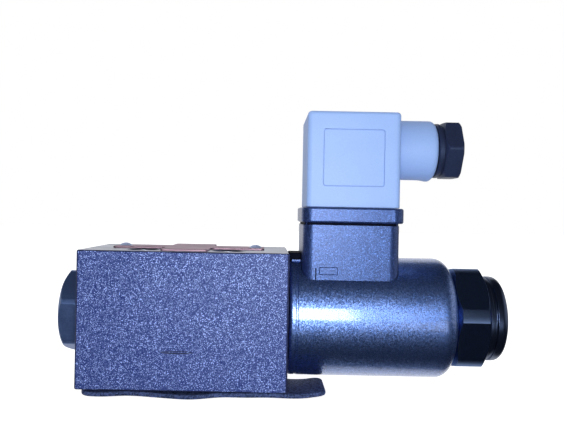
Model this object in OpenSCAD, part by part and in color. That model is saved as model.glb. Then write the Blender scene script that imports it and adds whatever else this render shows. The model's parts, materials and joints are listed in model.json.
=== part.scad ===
// Solenoid directional valve for a size 4 mounting face, in millimetres.
// X runs along the spool from the end plug to the coil, Z points up from the port face,
// and the origin is the centre of the screw pattern on the port face.

/* [Valve body] */
// Length of the body along the spool
body_l = 62.5; // [58:0.5:80]
// Depth of the body across the spool
body_d = 40; // [38:0.5:60]
// Height of the body above the port face
body_h = 41; // [39:0.5:60]
// Height of the spool axis above the port face
axis_h = 20.3; // [19.8:0.1:24]
// Radius of the upright edges of the casting
body_edge_r = 0.5; // [0.3:0.1:3]

/* [Mounting face] */
// Screw spacing along the spool
screw_pitch_x = 25.8; // [24:0.1:32]
// Screw spacing across the spool
screw_pitch_y = 24; // [23:0.1:26]
// Radius of the through holes for the mounting screws
screw_hole_r = 2.75; // [2.2:0.05:3]
// Radius of the counterbores for the screw heads
counterbore_r = 5; // [4.2:0.1:5.5]
// Depth of the counterbores
counterbore_depth = 6; // [3:0.5:9]
// Radius of the four port drillings
port_r = 2.25; // [1.5:0.05:2.25]
// Distance of the pressure and tank ports from the centre line
port_offset = 9.5; // [9.3:0.1:11]
// Radius of the O-ring recess round each port
recess_r = 4; // [3.9:0.1:4.1]
// Depth of the O-ring recess
recess_depth = 1.4; // [1.35:0.05:2]
// Radius of the O-rings' section
port_seal_wire_r = 0.65; // [0.4:0.05:0.65]

/* [Spool] */
// Radius of the spool bore
spool_bore_r = 5; // [4.5:0.1:5]
// Radial running clearance of the spool in its bore
spool_clearance = 0.03; // [0.01:0.01:0.08]
// Travel of the spool from rest to full stroke
travel = 3; // [2:0.1:3.2]
// Distance between neighbouring oil chambers
chamber_pitch = 7.6; // [7.4:0.1:8]
// Width of each oil chamber
chamber_w = 4.6; // [4.6:0.1:5]
// Radius of the oil chambers
chamber_r = 6.8; // [6:0.1:7]
// Width of the two metering lands
land_w = 5.6; // [5.2:0.1:6]
// Reach of the guiding land at the spring past the middle of the outer chamber
spring_land_reach = 0.6; // [0.2:0.1:1.2]
// Distance of the guiding land at the coil from the middle of the outer chamber
coil_land_offset = 2; // [1.2:0.1:2.4]
// Radius of the spool between its lands
spool_neck_r = 3.2; // [2.5:0.1:4]
// Radius of the cast oil galleries
gallery_r = 1.9; // [1.2:0.1:2]
// Height of the tank gallery above the spool axis
tank_rise = 10.5; // [9.2:0.1:11.5]

/* [End plug] */
// Size of the plug's hex across flats
plug_af = 23.5; // [20:0.5:26]
// Turn of the hex about the spool axis
plug_turn = 10; // [0:0.5:60]
// Length of the hex head
plug_head_l = 6.7; // [5:0.1:10]
// Chamfer on the outer corners of the hex
plug_chamfer = 1.2; // [0.4:0.1:2]
// How much the hex's corners are turned off
plug_corner_cut = 0.4; // [0.2:0.1:0.8]
// Radius of the plug's screw thread
plug_thread_r = 9; // [8:0.1:9.5]
// Length of the plug's screw thread
plug_thread_l = 11; // [8:0.5:12]
// Thickness of the sealing ring under the head
plug_seal_t = 1; // [0.6:0.1:2]
// Width of the sealing ring
plug_seal_w = 1.2; // [0.8:0.1:2]
// Thickness of the plug's closed end
plug_end_t = 2.6; // [2:0.1:4]
// Radius of the spring pocket inside the plug
pocket_r = 5.7; // [5.5:0.1:6.5]

/* [Return spring] */
// Radius of the spring wire
wire_r = 0.45; // [0.3:0.05:0.5]
// Radius of the coil at the middle of the wire
spring_mean_r = 4.2; // [3.6:0.1:4.4]
// Number of turns
spring_turns = 6; // [4:1:7]
// Thickness of the spring seat
seat_t = 1.5; // [1:0.1:2]
// Radius of the spring seat
seat_r = 5.2; // [4.9:0.1:5.3]

/* [Core tube] */
// Radius of the tube's screw thread in the body
tube_thread_r = 9.5; // [9:0.1:10]
// Length of the tube's screw thread
tube_thread_l = 10; // [8:0.5:10]
// Radius of the tube under the coil
tube_r = 9.4; // [9:0.1:10]
// Radius of the bore that the armature slides in
tube_bore_r = 8; // [7:0.1:8.2]
// Radius of the collar between the body and the coil
collar_r = 13; // [12.8:0.1:13.4]
// Thickness of the collar
collar_t = 1.3; // [0.8:0.1:3]
// Radius of the threaded stub that takes the nut
stub_r = 6; // [5:0.1:7]
// Length of the fixed pole piece
pole_l = 29; // [24:0.5:31]
// Length of the armature
armature_l = 23; // [18:0.5:24]
// Free gap at each end of the armature
armature_gap = 0.3; // [0.2:0.05:0.6]
// Radius of the push pin
pin_r = 2; // [1.5:0.1:2.4]
// Radius of the section of the tube's O-ring
tube_seal_wire_r = 0.8; // [0.5:0.05:0.9]

/* [Coil] */
// Outer radius of the coil shell
coil_r = 18.9; // [18.4:0.1:19.2]
// Length of the coil shell
coil_l = 50.8; // [50:0.1:62]
// Thickness of the shell's wall
shell_wall = 1.9; // [1.2:0.1:2.1]
// Thickness of the shell's closed end
shell_end_t = 2.5; // [2:0.1:4]
// Radius of the rounded shoulder at the nut end
shoulder_r = 4.5; // [2.6:0.1:5]
// Small rounding of the shell at the body end
lip_r = 1; // [0.4:0.1:1.5]
// Gap between the body and the shell's rim
rim_gap = 0.35; // [0.2:0.05:0.6]
// Gap between the collar and the washer that closes the shell
coil_gap = 0.2; // [0.1:0.05:0.5]
// Thickness of the steel washer that closes the shell
flux_washer_t = 3; // [2:0.1:4]
// Wall of the bobbin
bobbin_wall = 1.6; // [1:0.1:2]
// Thickness of the bobbin's flanges
bobbin_flange_t = 2; // [1.5:0.1:3]
// Gap between the winding and the pieces round it
winding_gap = 1.1; // [0.4:0.1:2]

/* [Terminal housing] */
// Distance of the terminal axis from the body's centre
terminal_x = 50.4; // [49.5:0.1:51]
// Width of the housing along the coil
housing_w = 29.5; // [27:0.1:29.6]
// Depth of the housing across the coil
housing_d = 28; // [26:0.1:30]
// How far the housing sits towards the body from the terminal axis
housing_offset = 0.3; // [0:0.1:0.8]
// Radius of the housing's upright edges
housing_edge_r = 3.4; // [1:0.1:4]
// Width of the bridge from the housing to the shell's body end
bridge_w = 13; // [8:0.1:16]
// How far the bridge stands above the shell
bridge_rise = 1.3; // [0.2:0.1:2]
// Height of the flange's top above the port face
flange_top = 54.8; // [53:0.1:60]
// Thickness of the flange
flange_t = 4.6; // [3:0.1:5]
// How far the flange stands out in front and behind
flange_lip = 1; // [0.5:0.1:2]
// How far the flange stands out at its sides
flange_side_lip = 1.4; // [0.5:0.1:2]
// Thickness of the gasket in the flange's recess
gasket_t = 1.4; // [1:0.1:2]
// Width of a contact blade
blade_w = 6.3; // [4.8:0.1:6.5]
// Thickness of a contact blade
blade_t = 0.8; // [0.5:0.1:1]
// Distance of the blades from the terminal axis
blade_offset = 9; // [8.6:0.1:9.2]
// Length of a blade above the flange
blade_up = 9; // [7:0.5:10]
// Length of a blade inside the housing
blade_down = 8; // [5:0.5:10]

/* [Connector plug] */
// Width of the plug along the coil
plug_w = 28.3; // [27.5:0.1:30]
// Depth of the plug across the coil
plug_d = 28; // [27.5:0.1:30]
// Height of the plug
plug_h = 29.1; // [28.5:0.1:34]
// Wall of the plug
plug_wall = 2; // [1.5:0.1:2.1]
// Radius of the plug's upright edges
plug_edge_r = 1.6; // [0.5:0.1:3]
// Width of the recessed panel on its front and back
panel_w = 18.6; // [12:0.1:22]
// Height of the recessed panel
panel_h = 17.4; // [12:0.1:20]
// How far the panel's middle lies above the plug's middle
panel_rise = 0.6; // [0:0.1:2]
// Depth of the recessed panel
panel_depth = 0.5; // [0.2:0.1:0.8]
// Height of the block that holds the sockets
carrier_h = 12; // [11.8:0.1:13]
// Height of the screw boss's foot above the block
boss_rise = 4; // [3:0.1:6]
// Radius of the central fixing screw
screw_r = 1.5; // [1.2:0.1:2]
// Radius of the fixing screw's head
screw_head_r = 2.8; // [2.5:0.1:3.2]
// Thickness of the fixing screw's head
screw_head_t = 2; // [1.5:0.1:2.5]
// How far the screw's head sits below the plug's top
screw_sink = 0.5; // [0.2:0.1:1]
// Length of the screw below the flange's top
screw_reach = 8; // [6:0.5:9]
// Radius of a terminal screw's shank
terminal_screw_r = 1; // [0.8:0.1:1.2]
// Length of a terminal screw's shank in the block
terminal_screw_l = 1.8; // [1.2:0.1:1.8]
// Radius of a terminal screw's head
terminal_head_r = 1.9; // [1.5:0.1:2.2]
// Thickness of a terminal screw's head
terminal_head_t = 1.4; // [1:0.1:2]
// Width of the screwdriver slots
slot_w = 0.7; // [0.4:0.1:1]

/* [Cable gland] */
// Height of the gland's axis above the flange's top
gland_rise = 19; // [18.6:0.1:19]
// Radius of the neck
neck_r = 9.5; // [9:0.1:9.6]
// Length of the neck
neck_l = 12.8; // [12:0.1:16]
// Rounding of the neck's outer edge
neck_edge_r = 1.8; // [0.5:0.1:2]
// Radius of the neck's bore
neck_bore_r = 7; // [6.5:0.1:7.2]
// Size of the gland nut across flats
gland_af = 17.4; // [16:0.1:19]
// Turn of the gland nut's hex about its axis
gland_turn = 30; // [0:0.5:60]
// Chamfer on the gland nut's corners
gland_chamfer = 0.6; // [0.3:0.1:1.5]
// How much the gland nut's corners are turned off
gland_corner_cut = 0.3; // [0.2:0.1:0.8]
// Length of the gland nut's hex
gland_hex_l = 5.5; // [4:0.1:8]
// Length of the round collar behind the hex
gland_collar_l = 1.9; // [1:0.1:3]
// Rounding of that collar
gland_collar_edge_r = 0.6; // [0.3:0.1:0.9]
// Length of the gland nut's screw thread inside the neck
gland_thread_l = 6; // [4:0.5:7]
// Radius of the cable's way through the gland
cable_r = 4.25; // [3:0.05:4.5]
// Length of the rubber grommet
grommet_l = 5; // [4:0.5:5.5]
// Thickness of the ring between grommet and nut
gland_washer_t = 0.8; // [0.5:0.1:1]

/* [Coil nut and end cap] */
// Size of the nut across flats
nut_af = 30.3; // [29.5:0.1:32]
// Turn of the nut's hex about the spool axis
nut_turn = 20; // [0:0.5:60]
// Radius that the nut's corners are turned down to
nut_round_r = 16.4; // [16:0.1:17]
// Length of the nut
nut_l = 10.1; // [9.5:0.1:14]
// Chamfer on the nut's ends
nut_chamfer = 1; // [0.3:0.1:1.5]
// Radius of the section of the coil's O-rings
coil_seal_wire_r = 0.7; // [0.4:0.05:0.7]
// Radius of the end cap
cap_r = 13.4; // [12:0.1:15]
// Length of the end cap
cap_l = 6.1; // [5:0.1:8]
// Rounding of the cap's outer edge
cap_edge_r = 2; // [1:0.1:2.4]
// Depth of the ring groove round the cap
cap_groove = 0.6; // [0.2:0.1:0.8]
// Width of the ring groove
cap_groove_w = 1.1; // [0.5:0.1:1.4]
// Distance of the ring groove from the nut
cap_groove_x = 1.5; // [1.2:0.1:1.8]
// Radius of the override button
button_r = 4; // [3:0.1:5]
// Radius of the button's pin
button_pin_r = 2.5; // [2:0.1:3]
// How far the button sits below the cap's face
button_sink = 0.8; // [0.3:0.1:1]

/* [Nameplate] */
// Length of the plate
plate_l = 47.4; // [46:0.1:50]
// Width of the plate's arms
plate_arm_w = 12.6; // [8:0.1:12.8]
// Length of the plate's middle lobe
plate_lobe_l = 14; // [8:0.1:14.5]
// Width of the plate over its middle lobe
plate_lobe_w = 37; // [20:0.1:37.5]
// Radius of the plate's outer corners
plate_edge_r = 1; // [0.3:0.1:2]
// Radius of the fillets in the plate's inner corners
plate_fillet_r = 1.5; // [0.5:0.1:2]
// Thickness of the plate
plate_t = 0.6; // [0.3:0.1:1]
// Distance of each rivet from the centre
rivet_x = 20.9; // [20:0.1:21.5]
// Radius of a rivet's head
rivet_head_r = 2.1; // [1.6:0.1:2.2]
// Height of a rivet's head
rivet_head_h = 0.9; // [0.5:0.1:1.2]
// Radius of a rivet's shank
rivet_r = 1.2; // [0.8:0.1:1.4]
// Length of a rivet's shank in the body
rivet_l = 5; // [3:0.5:8]

/* [Transport cover] */
// Thickness of the cover
cover_t = 1.3; // [0.8:0.1:2]
// How far the cover stops short of the body's end at the plug
cover_short = 1.6; // [0:0.1:6]
// How far the pull tab reaches past the body
tab_l = 11.5; // [6:0.5:14]
// Width of the pull tab
tab_w = 18; // [12:0.5:24]
// Radial room round the screws in the cover's holes
cover_hole_gap = 0.7; // [0.3:0.1:1]
// Radius of the cover's corners
cover_edge_r = 3; // [1:0.1:5]
// Height of the pegs that sit in the ports' O-rings
peg_h = 1; // [0.5:0.1:1.2]

/* [Clearances] */
// Gap between fixed pieces that are screwed or pushed together
fit_gap = 0.05; // [0.03:0.01:0.08]
// Radial running gap of the armature and the pins
run_gap = 0.06; // [0.03:0.01:0.09]
// Gap round pieces that pull apart
pull_gap = 0.3; // [0.25:0.05:0.35]

/* [Hidden] */
$fn = 64;
// Overshoot of every cut past the face that it opens
extra = 1;
// Small axial gap between pieces that face each other
face_gap = 0.2;
// Axial room at the ends of the spool
spool_room = 0.5;
// Room below the end of the plug's fixing screw
screw_room = 1;
// Radius of the upright edges inside the plug and its recess
inner_edge_r = 1;
// Thickness of the cap's floor under the override button
button_web = 1.2;
// Step from the cap's rim to the nut's nose inside it
nose_step = 3;

// Stations along the spool axis
end_x = body_l / 2;
plug_face_x = -end_x - plug_seal_t;
plug_end_x = plug_face_x - plug_head_l;
plug_inner_x = -end_x + plug_thread_l;
plug_chamber_x = plug_inner_x + spool_room;
pocket_end_x = plug_end_x + plug_end_t;
tube_inner_x = end_x - tube_thread_l;
spool_x0 = plug_inner_x;
spool_x1 = tube_inner_x - spool_room;
seat_x = spool_x0 - seat_t;
pole_x1 = tube_inner_x + pole_l;
armature_x0 = pole_x1 + travel + armature_gap;
armature_x1 = armature_x0 + armature_l;
tube_end_x = armature_x1 + armature_gap;
coil_x0 = end_x + rim_gap;
coil_x1 = coil_x0 + coil_l;
nut_x1 = coil_x1 + nut_l;
cap_x1 = nut_x1 + cap_l;
tube_x1 = coil_x1 - face_gap;
button_t = cap_l - button_sink - button_web;
button_x0 = cap_x1 - button_sink - button_t;
stub_x1 = button_x0 - travel - pull_gap;
nose_l = cap_l / 2;
nose_r = cap_r - nose_step;

tube_seal_mean_r = tube_thread_r + tube_seal_wire_r + fit_gap;

// Rings inside the coil
shell_bore_r = coil_r - shell_wall;
coil_bore_r = tube_r + pull_gap;
flux_x0 = end_x + collar_t + coil_gap;
flux_x1 = flux_x0 + flux_washer_t;
bobbin_x0 = flux_x1 + face_gap;
bobbin_x1 = coil_x1 - shell_end_t - face_gap;
saddle_r = shell_bore_r - pull_gap;
bobbin_flange_r = saddle_r - face_gap;
winding_r0 = coil_bore_r + bobbin_wall + fit_gap;

// Heights of the terminal housing and the plug
plug_z0 = flange_top + face_gap / 2;
plug_z1 = plug_z0 + plug_h;
housing_x = terminal_x - housing_offset;
carrier_z1 = plug_z0 + carrier_h;
recess_w = plug_w - 2 * plug_wall;
recess_d = plug_d - 2 * plug_wall;
screw_head_z = plug_z1 - screw_head_t - screw_sink;
gland_z = flange_top + gland_rise;
neck_x0 = terminal_x + plug_w / 2;
neck_x1 = neck_x0 + neck_l;
gland_thread_x0 = neck_x1 - gland_thread_l;
gland_washer_x0 = gland_thread_x0 - gland_washer_t - fit_gap;
grommet_x0 = gland_washer_x0 - grommet_l - fit_gap;
gland_collar_x = neck_x1 + face_gap;
gland_hex_x = gland_collar_x + gland_collar_l;
port_seal_mean_r = recess_r - port_seal_wire_r - fit_gap;

// Ports as [x, y]: the two working ports, then pressure and tank
PORTS = [[-chamber_pitch, 0], [chamber_pitch, 0], [0, -port_offset], [0, port_offset]];
CHAMBERS = [for (i = [-2:2]) i * chamber_pitch];

function screw_places() = [for (x = [-1, 1], y = [-1, 1]) [x * screw_pitch_x / 2, y * screw_pitch_y / 2]];

// Distance of a hexagon's corners from its axis
function hex_r(af) = af / 2 / cos(30);

// A bar along the spool axis from x0 to x1
module bar(x0, x1, r, z = axis_h) {
    translate([x0, 0, z])
        rotate([0, 90, 0])
            cylinder(h = x1 - x0, r = r);
}

// A tube along the spool axis
module pipe(x0, x1, outer_r, inner_r, z = axis_h) {
    difference() {
        bar(x0, x1, outer_r, z);
        bar(x0 - extra, x1 + extra, inner_r, z);
    }
}

// A flat outline in radius and length, turned about the spool axis from x0 on
module turned(x0, z = axis_h) {
    translate([x0, 0, z])
        rotate([0, 90, 0])
            rotate_extrude()
                children();
}

// An O-ring round the spool axis
module o_ring(x, mean_r, ring_wire_r) {
    turned(x)
        translate([mean_r, 0])
            circle(r = ring_wire_r, $fn = 32);
}

// A hexagonal bar along X, its corners turned off at both ends
module hex_bar(x0, l, af, turn, round_r, chamfer, z = axis_h) {
    intersection() {
        translate([x0, 0, z])
            rotate([0, 90, 0])
                rotate([0, 0, turn])
                    cylinder(h = l, r = hex_r(af), $fn = 6);
        turned(x0, z)
            polygon([
                [0, 0], [round_r - chamfer, 0], [round_r, chamfer],
                [round_r, l - chamfer], [round_r - chamfer, l], [0, l]
            ]);
    }
}

// A rectangle with round corners, centred
module rounded_rect(w, d, r) {
    square([w - 2 * r, d], center = true);
    square([w, d - 2 * r], center = true);
    for (x = [-1, 1], y = [-1, 1])
        translate([x * (w / 2 - r), y * (d / 2 - r)])
            circle(r = r);
}

// A rectangle from the axis outwards with one round outer corner at its far end
module shoulder_profile(r, l, round_r) {
    square([r - round_r, l]);
    square([r, l - round_r]);
    translate([r - round_r, l - round_r])
        circle(r = round_r);
}

// The oil passages: chambers round the bore, port drillings and cast galleries
module oil_passages() {
    for (x = CHAMBERS)
        bar(x - chamber_w / 2, x + chamber_w / 2, chamber_r);
    for (p = PORTS)
        translate([p[0], p[1], -extra])
            cylinder(h = recess_depth + extra, r = recess_r);
    for (i = [0:2])
        translate([PORTS[i][0], PORTS[i][1], 0])
            cylinder(h = axis_h, r = port_r);
    translate([PORTS[3][0], PORTS[3][1], 0])
        cylinder(h = axis_h + tank_rise, r = port_r);
    translate([0, -port_offset, axis_h])
        rotate([-90, 0, 0])
            cylinder(h = port_offset, r = gallery_r);
    translate([0, 0, axis_h + tank_rise])
        rotate([-90, 0, 0])
            cylinder(h = port_offset, r = gallery_r);
    bar(-2 * chamber_pitch, 2 * chamber_pitch, gallery_r, axis_h + tank_rise);
    for (side = [-1, 1])
        translate([side * 2 * chamber_pitch, 0, axis_h])
            cylinder(h = tank_rise, r = gallery_r);
}

module valve_body() {
    rivet_hole_l = rivet_l + face_gap;
    color("darkslategray")
        difference() {
            linear_extrude(height = body_h)
                rounded_rect(body_l, body_d, body_edge_r);
            for (p = screw_places())
                translate([p[0], p[1], -extra]) {
                    cylinder(h = body_h + 2 * extra, r = screw_hole_r);
                    translate([0, 0, body_h - counterbore_depth + extra])
                        cylinder(h = counterbore_depth + extra, r = counterbore_r);
                }
            bar(-end_x - extra, end_x + extra, spool_bore_r);
            bar(-end_x - extra, plug_chamber_x, plug_thread_r + fit_gap);
            bar(tube_inner_x, end_x + extra, tube_thread_r + fit_gap);
            bar(end_x - 2 * tube_seal_wire_r, end_x + extra, tube_seal_mean_r + tube_seal_wire_r);
            oil_passages();
            for (side = [-1, 1])
                translate([side * rivet_x, 0, body_h - rivet_hole_l])
                    cylinder(h = rivet_hole_l + extra, r = rivet_r + fit_gap, $fn = 32);
        }
}

module end_plug() {
    color("steelblue")
        difference() {
            union() {
                hex_bar(
                    plug_end_x, plug_head_l, plug_af, plug_turn,
                    hex_r(plug_af) - plug_corner_cut, plug_chamfer
                );
                bar(plug_face_x, plug_inner_x, plug_thread_r);
            }
            bar(pocket_end_x, plug_inner_x + extra, pocket_r);
        }
}

module end_plug_seal() {
    color("black")
        pipe(plug_face_x, -end_x, plug_thread_r + plug_seal_w, plug_thread_r + fit_gap);
}

// The spring's wire: a ring of points round the helix at every step of each turn
module return_spring() {
    sides = 6;
    steps = 16;
    count = spring_turns * steps;
    length = seat_x - pocket_end_x - 2 * (wire_r + fit_gap);
    pitch = length / spring_turns;
    echo(spring_gap = pitch - 2 * wire_r);
    points = [
        for (i = [0:count], j = [0:sides - 1])
            let (a = 360 * i / steps, b = 360 * j / sides, r = spring_mean_r + wire_r * cos(b))
                [length * i / count + wire_r * sin(b), r * cos(a), r * sin(a)]
    ];
    walls = [
        for (i = [0:count - 1], j = [0:sides - 1])
            let (k = (j + 1) % sides, p = i * sides, q = p + sides)
                each [[p + j, q + j, q + k], [p + j, q + k, p + k]]
    ];
    first = [for (j = [1:sides - 2]) [0, j, j + 1]];
    last = [for (j = [1:sides - 2]) [count * sides, count * sides + j + 1, count * sides + j]];
    color("silver")
        translate([pocket_end_x + wire_r + fit_gap, 0, axis_h])
            polyhedron(points, concat(walls, first, last));
}

module spring_seat() {
    color("silver")
        pipe(seat_x, spool_x0, seat_r, pin_r + fit_gap);
}

// The spool: two metering lands, a guiding land at each end, and a spigot for the spring seat
module spool() {
    land_r = spool_bore_r - spool_clearance;
    color("lightsteelblue") {
        bar(spool_x0, spool_x1, spool_neck_r);
        bar(seat_x, spool_x0 + extra, pin_r);
        for (x = [-chamber_pitch, chamber_pitch])
            bar(x + (travel - land_w) / 2, x + (travel + land_w) / 2, land_r);
        bar(spool_x0, -2 * chamber_pitch + spring_land_reach, land_r);
        bar(2 * chamber_pitch + coil_land_offset, spool_x1, land_r);
    }
}

module push_pin() {
    color("silver")
        bar(spool_x1, armature_x0, pin_r);
}

module port_seals() {
    color("black")
        for (p = PORTS)
            translate([p[0], p[1], recess_depth - port_seal_wire_r - fit_gap])
                rotate_extrude()
                    translate([port_seal_mean_r, 0])
                        circle(r = port_seal_wire_r, $fn = 32);
}

// The pressure tube: thread, collar, plain tube, closed end and stub
module core_tube() {
    color("silver")
        difference() {
            union() {
                bar(tube_inner_x, end_x, tube_thread_r);
                bar(end_x, end_x + collar_t, collar_r);
                bar(end_x, tube_x1, tube_r);
                bar(tube_end_x, stub_x1, stub_r);
            }
            bar(tube_inner_x - extra, tube_end_x, tube_bore_r);
            bar(tube_end_x - extra, stub_x1 + extra, button_pin_r + run_gap);
        }
}

module tube_seal() {
    color("black")
        o_ring(end_x - tube_seal_wire_r, tube_seal_mean_r, tube_seal_wire_r - fit_gap);
}

module pole_piece() {
    color("gray")
        pipe(tube_inner_x, pole_x1, tube_bore_r - fit_gap, pin_r + run_gap);
}

module armature() {
    color("dimgray")
        bar(armature_x0, armature_x1, tube_bore_r - run_gap);
}

// Upright space that the terminal housing takes through the shell
module housing_column(z0, z1, grow = 0) {
    translate([housing_x, 0, z0])
        linear_extrude(height = z1 - z0)
            rounded_rect(housing_w + 2 * grow, housing_d + 2 * grow, housing_edge_r + grow);
}

// The low bridge that runs from the housing along the top of the coil to its body end
module housing_bridge(x0, z1, grow = 0) {
    translate([x0, -bridge_w / 2 - grow, axis_h])
        cube([housing_x - x0, bridge_w + 2 * grow, z1 - axis_h]);
}

module coil_shell() {
    color("lightsteelblue")
        difference() {
            intersection() {
                turned(coil_x0)
                    shoulder_profile(coil_r, coil_l, shoulder_r);
                translate([coil_x1, 0, axis_h])
                    rotate([0, -90, 0])
                        rotate_extrude()
                            shoulder_profile(coil_r, coil_l, lip_r);
            }
            turned(coil_x0 - extra)
                shoulder_profile(shell_bore_r, coil_l - shell_end_t + extra, shoulder_r - shell_wall);
            bar(coil_x0 - extra, coil_x1 + extra, coil_bore_r);
            housing_column(axis_h, axis_h + coil_r + extra, face_gap / 2);
            housing_bridge(coil_x0 - extra, axis_h + coil_r + extra, face_gap / 2);
        }
}

module flux_washer() {
    color("slategray")
        pipe(flux_x0, flux_x1, shell_bore_r - fit_gap, coil_bore_r);
}

module coil_bobbin() {
    color("black")
        difference() {
            union() {
                bar(bobbin_x0, bobbin_x1, coil_bore_r + bobbin_wall);
                bar(bobbin_x0, bobbin_x0 + bobbin_flange_t, bobbin_flange_r);
                turned(bobbin_x1 - bobbin_flange_t)
                    polygon([
                        [0, 0], [bobbin_flange_r - shoulder_r + shell_wall, 0],
                        [bobbin_flange_r - shoulder_r + shell_wall, bobbin_flange_t], [0, bobbin_flange_t]
                    ]);
            }
            bar(bobbin_x0 - extra, bobbin_x1 + extra, coil_bore_r);
        }
}

module coil_winding() {
    color("sienna")
        pipe(
            bobbin_x0 + bobbin_flange_t + fit_gap, bobbin_x1 - bobbin_flange_t - fit_gap,
            saddle_r - winding_gap, winding_r0
        );
}

// O-rings between the body and the coil, and between the coil and the nut
module coil_seals() {
    color("black") {
        o_ring(end_x + (collar_t + coil_gap) / 2, collar_r + coil_seal_wire_r + fit_gap, coil_seal_wire_r);
        o_ring(coil_x1 + coil_seal_wire_r + fit_gap, coil_bore_r + 2 * coil_seal_wire_r, coil_seal_wire_r);
    }
}

module coil_nut() {
    seal_r = coil_bore_r + 2 * coil_seal_wire_r;
    color("black")
        difference() {
            union() {
                hex_bar(coil_x1 + fit_gap, nut_l - fit_gap, nut_af, nut_turn, nut_round_r, nut_chamfer);
                bar(nut_x1 - extra, nut_x1 + nose_l, nose_r);
            }
            bar(coil_x1 - extra, cap_x1, stub_r + fit_gap);
            pipe(
                coil_x1 - extra, coil_x1 + 2 * (coil_seal_wire_r + fit_gap),
                seal_r + coil_seal_wire_r + fit_gap, seal_r - coil_seal_wire_r - fit_gap
            );
        }
}

// The cap on the nut: a rounded disc with a ring groove and a hole for the button
module end_cap() {
    color("black")
        difference() {
            turned(nut_x1)
                shoulder_profile(cap_r, cap_l, cap_edge_r);
            bar(nut_x1 - extra, nut_x1 + nose_l + fit_gap, nose_r + fit_gap);
            bar(nut_x1 - extra, cap_x1 + extra, button_r + pull_gap);
            pipe(nut_x1 + cap_groove_x, nut_x1 + cap_groove_x + cap_groove_w, cap_r + extra, cap_r - cap_groove);
        }
}

module override_button() {
    color("black") {
        bar(armature_x1 + face_gap / 2, button_x0 + extra, button_pin_r);
        bar(button_x0, button_x0 + button_t, button_r);
    }
}

// Places of the blades as [x, y, turn] round the terminal axis: two for power, one for earth
BLADES = [[-blade_offset, 0, 0], [blade_offset, 0, 0], [0, blade_offset, 90]];

module blade_places() {
    for (b = BLADES)
        translate([terminal_x + b[0], b[1], 0])
            rotate([0, 0, b[2]])
                children();
}

// An upright box centred on the terminal axis's blade places
module blade_box(z0, z1, grow) {
    translate([-blade_t / 2 - grow, -blade_w / 2 - grow, z0])
        cube([blade_t + 2 * grow, blade_w + 2 * grow, z1 - z0]);
}

module terminal_housing() {
    color("black")
        difference() {
            union() {
                housing_column(axis_h, flange_top);
                housing_bridge(coil_x0, axis_h + coil_r + bridge_rise);
                translate([terminal_x, 0, flange_top - flange_t])
                    linear_extrude(height = flange_t)
                        rounded_rect(plug_w + 2 * flange_side_lip, plug_d + 2 * flange_lip, housing_edge_r);
            }
            bar(coil_x0 - extra, coil_x1 + extra, saddle_r);
            bar(coil_x0 - extra, flux_x1 + face_gap, shell_bore_r);
            translate([terminal_x, 0, flange_top - gasket_t])
                linear_extrude(height = gasket_t + extra)
                    rounded_rect(recess_w, recess_d, inner_edge_r);
            translate([terminal_x, 0, flange_top - screw_reach - screw_room])
                cylinder(h = screw_reach + screw_room + extra, r = screw_r + pull_gap, $fn = 32);
            blade_places()
                blade_box(flange_top - blade_down, flange_top + extra, fit_gap);
        }
}

module contact_blades() {
    color("gold")
        blade_places()
            blade_box(flange_top - blade_down, flange_top + blade_up, 0);
}

module connector_gasket() {
    color("black")
        difference() {
            translate([terminal_x, 0, flange_top - gasket_t])
                linear_extrude(height = gasket_t)
                    rounded_rect(recess_w - 2 * fit_gap, recess_d - 2 * fit_gap, inner_edge_r);
            translate([terminal_x, 0, flange_top - gasket_t - extra])
                cylinder(h = gasket_t + 2 * extra, r = screw_r + pull_gap, $fn = 32);
            blade_places()
                blade_box(flange_top - gasket_t - extra, flange_top + extra, pull_gap);
        }
}

// The plug's housing: hollow box, screw boss, side neck for the cable, recessed panels
module connector_housing() {
    roof_z = plug_z1 - plug_wall;
    panel_z = plug_z0 + plug_h / 2 + panel_rise;
    panel_cut = panel_depth + extra;
    color("lavender")
        difference() {
            union() {
                translate([terminal_x, 0, plug_z0])
                    linear_extrude(height = plug_h)
                        rounded_rect(plug_w, plug_d, plug_edge_r);
                turned(neck_x0 - plug_wall / 2, gland_z)
                    shoulder_profile(neck_r, neck_l + plug_wall / 2, neck_edge_r);
            }
            difference() {
                translate([terminal_x, 0, plug_z0 - extra])
                    linear_extrude(height = roof_z - plug_z0 + extra)
                        rounded_rect(recess_w, recess_d, inner_edge_r);
                translate([terminal_x, 0, carrier_z1 + boss_rise])
                    cylinder(h = plug_h, r = screw_head_r + plug_wall);
            }
            translate([terminal_x, 0, plug_z0])
                cylinder(h = plug_h + extra, r = screw_r + face_gap, $fn = 32);
            translate([terminal_x, 0, screw_head_z])
                cylinder(h = screw_head_t + screw_sink + extra, r = screw_head_r + face_gap, $fn = 32);
            bar(neck_x0 - 2 * plug_wall, neck_x1 + extra, neck_bore_r, gland_z);
            for (side = [-1, 1])
                translate([terminal_x, side * (plug_d / 2 - panel_depth + panel_cut / 2), panel_z])
                    cube([panel_w, panel_cut, panel_h], center = true);
        }
}

// The block of sockets inside the plug
module contact_carrier() {
    color("gray")
        difference() {
            translate([terminal_x, 0, plug_z0])
                linear_extrude(height = carrier_h)
                    rounded_rect(recess_w - 2 * pull_gap, recess_d - 2 * pull_gap, inner_edge_r);
            translate([terminal_x, 0, plug_z0 - extra])
                cylinder(h = carrier_h + 2 * extra, r = screw_r + face_gap, $fn = 32);
            blade_places()
                blade_box(plug_z0 - extra, flange_top + blade_up + pull_gap, pull_gap);
            blade_places()
                translate([0, 0, carrier_z1 - terminal_screw_l - fit_gap])
                    cylinder(h = terminal_screw_l + extra, r = terminal_screw_r + fit_gap, $fn = 32);
        }
}

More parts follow.
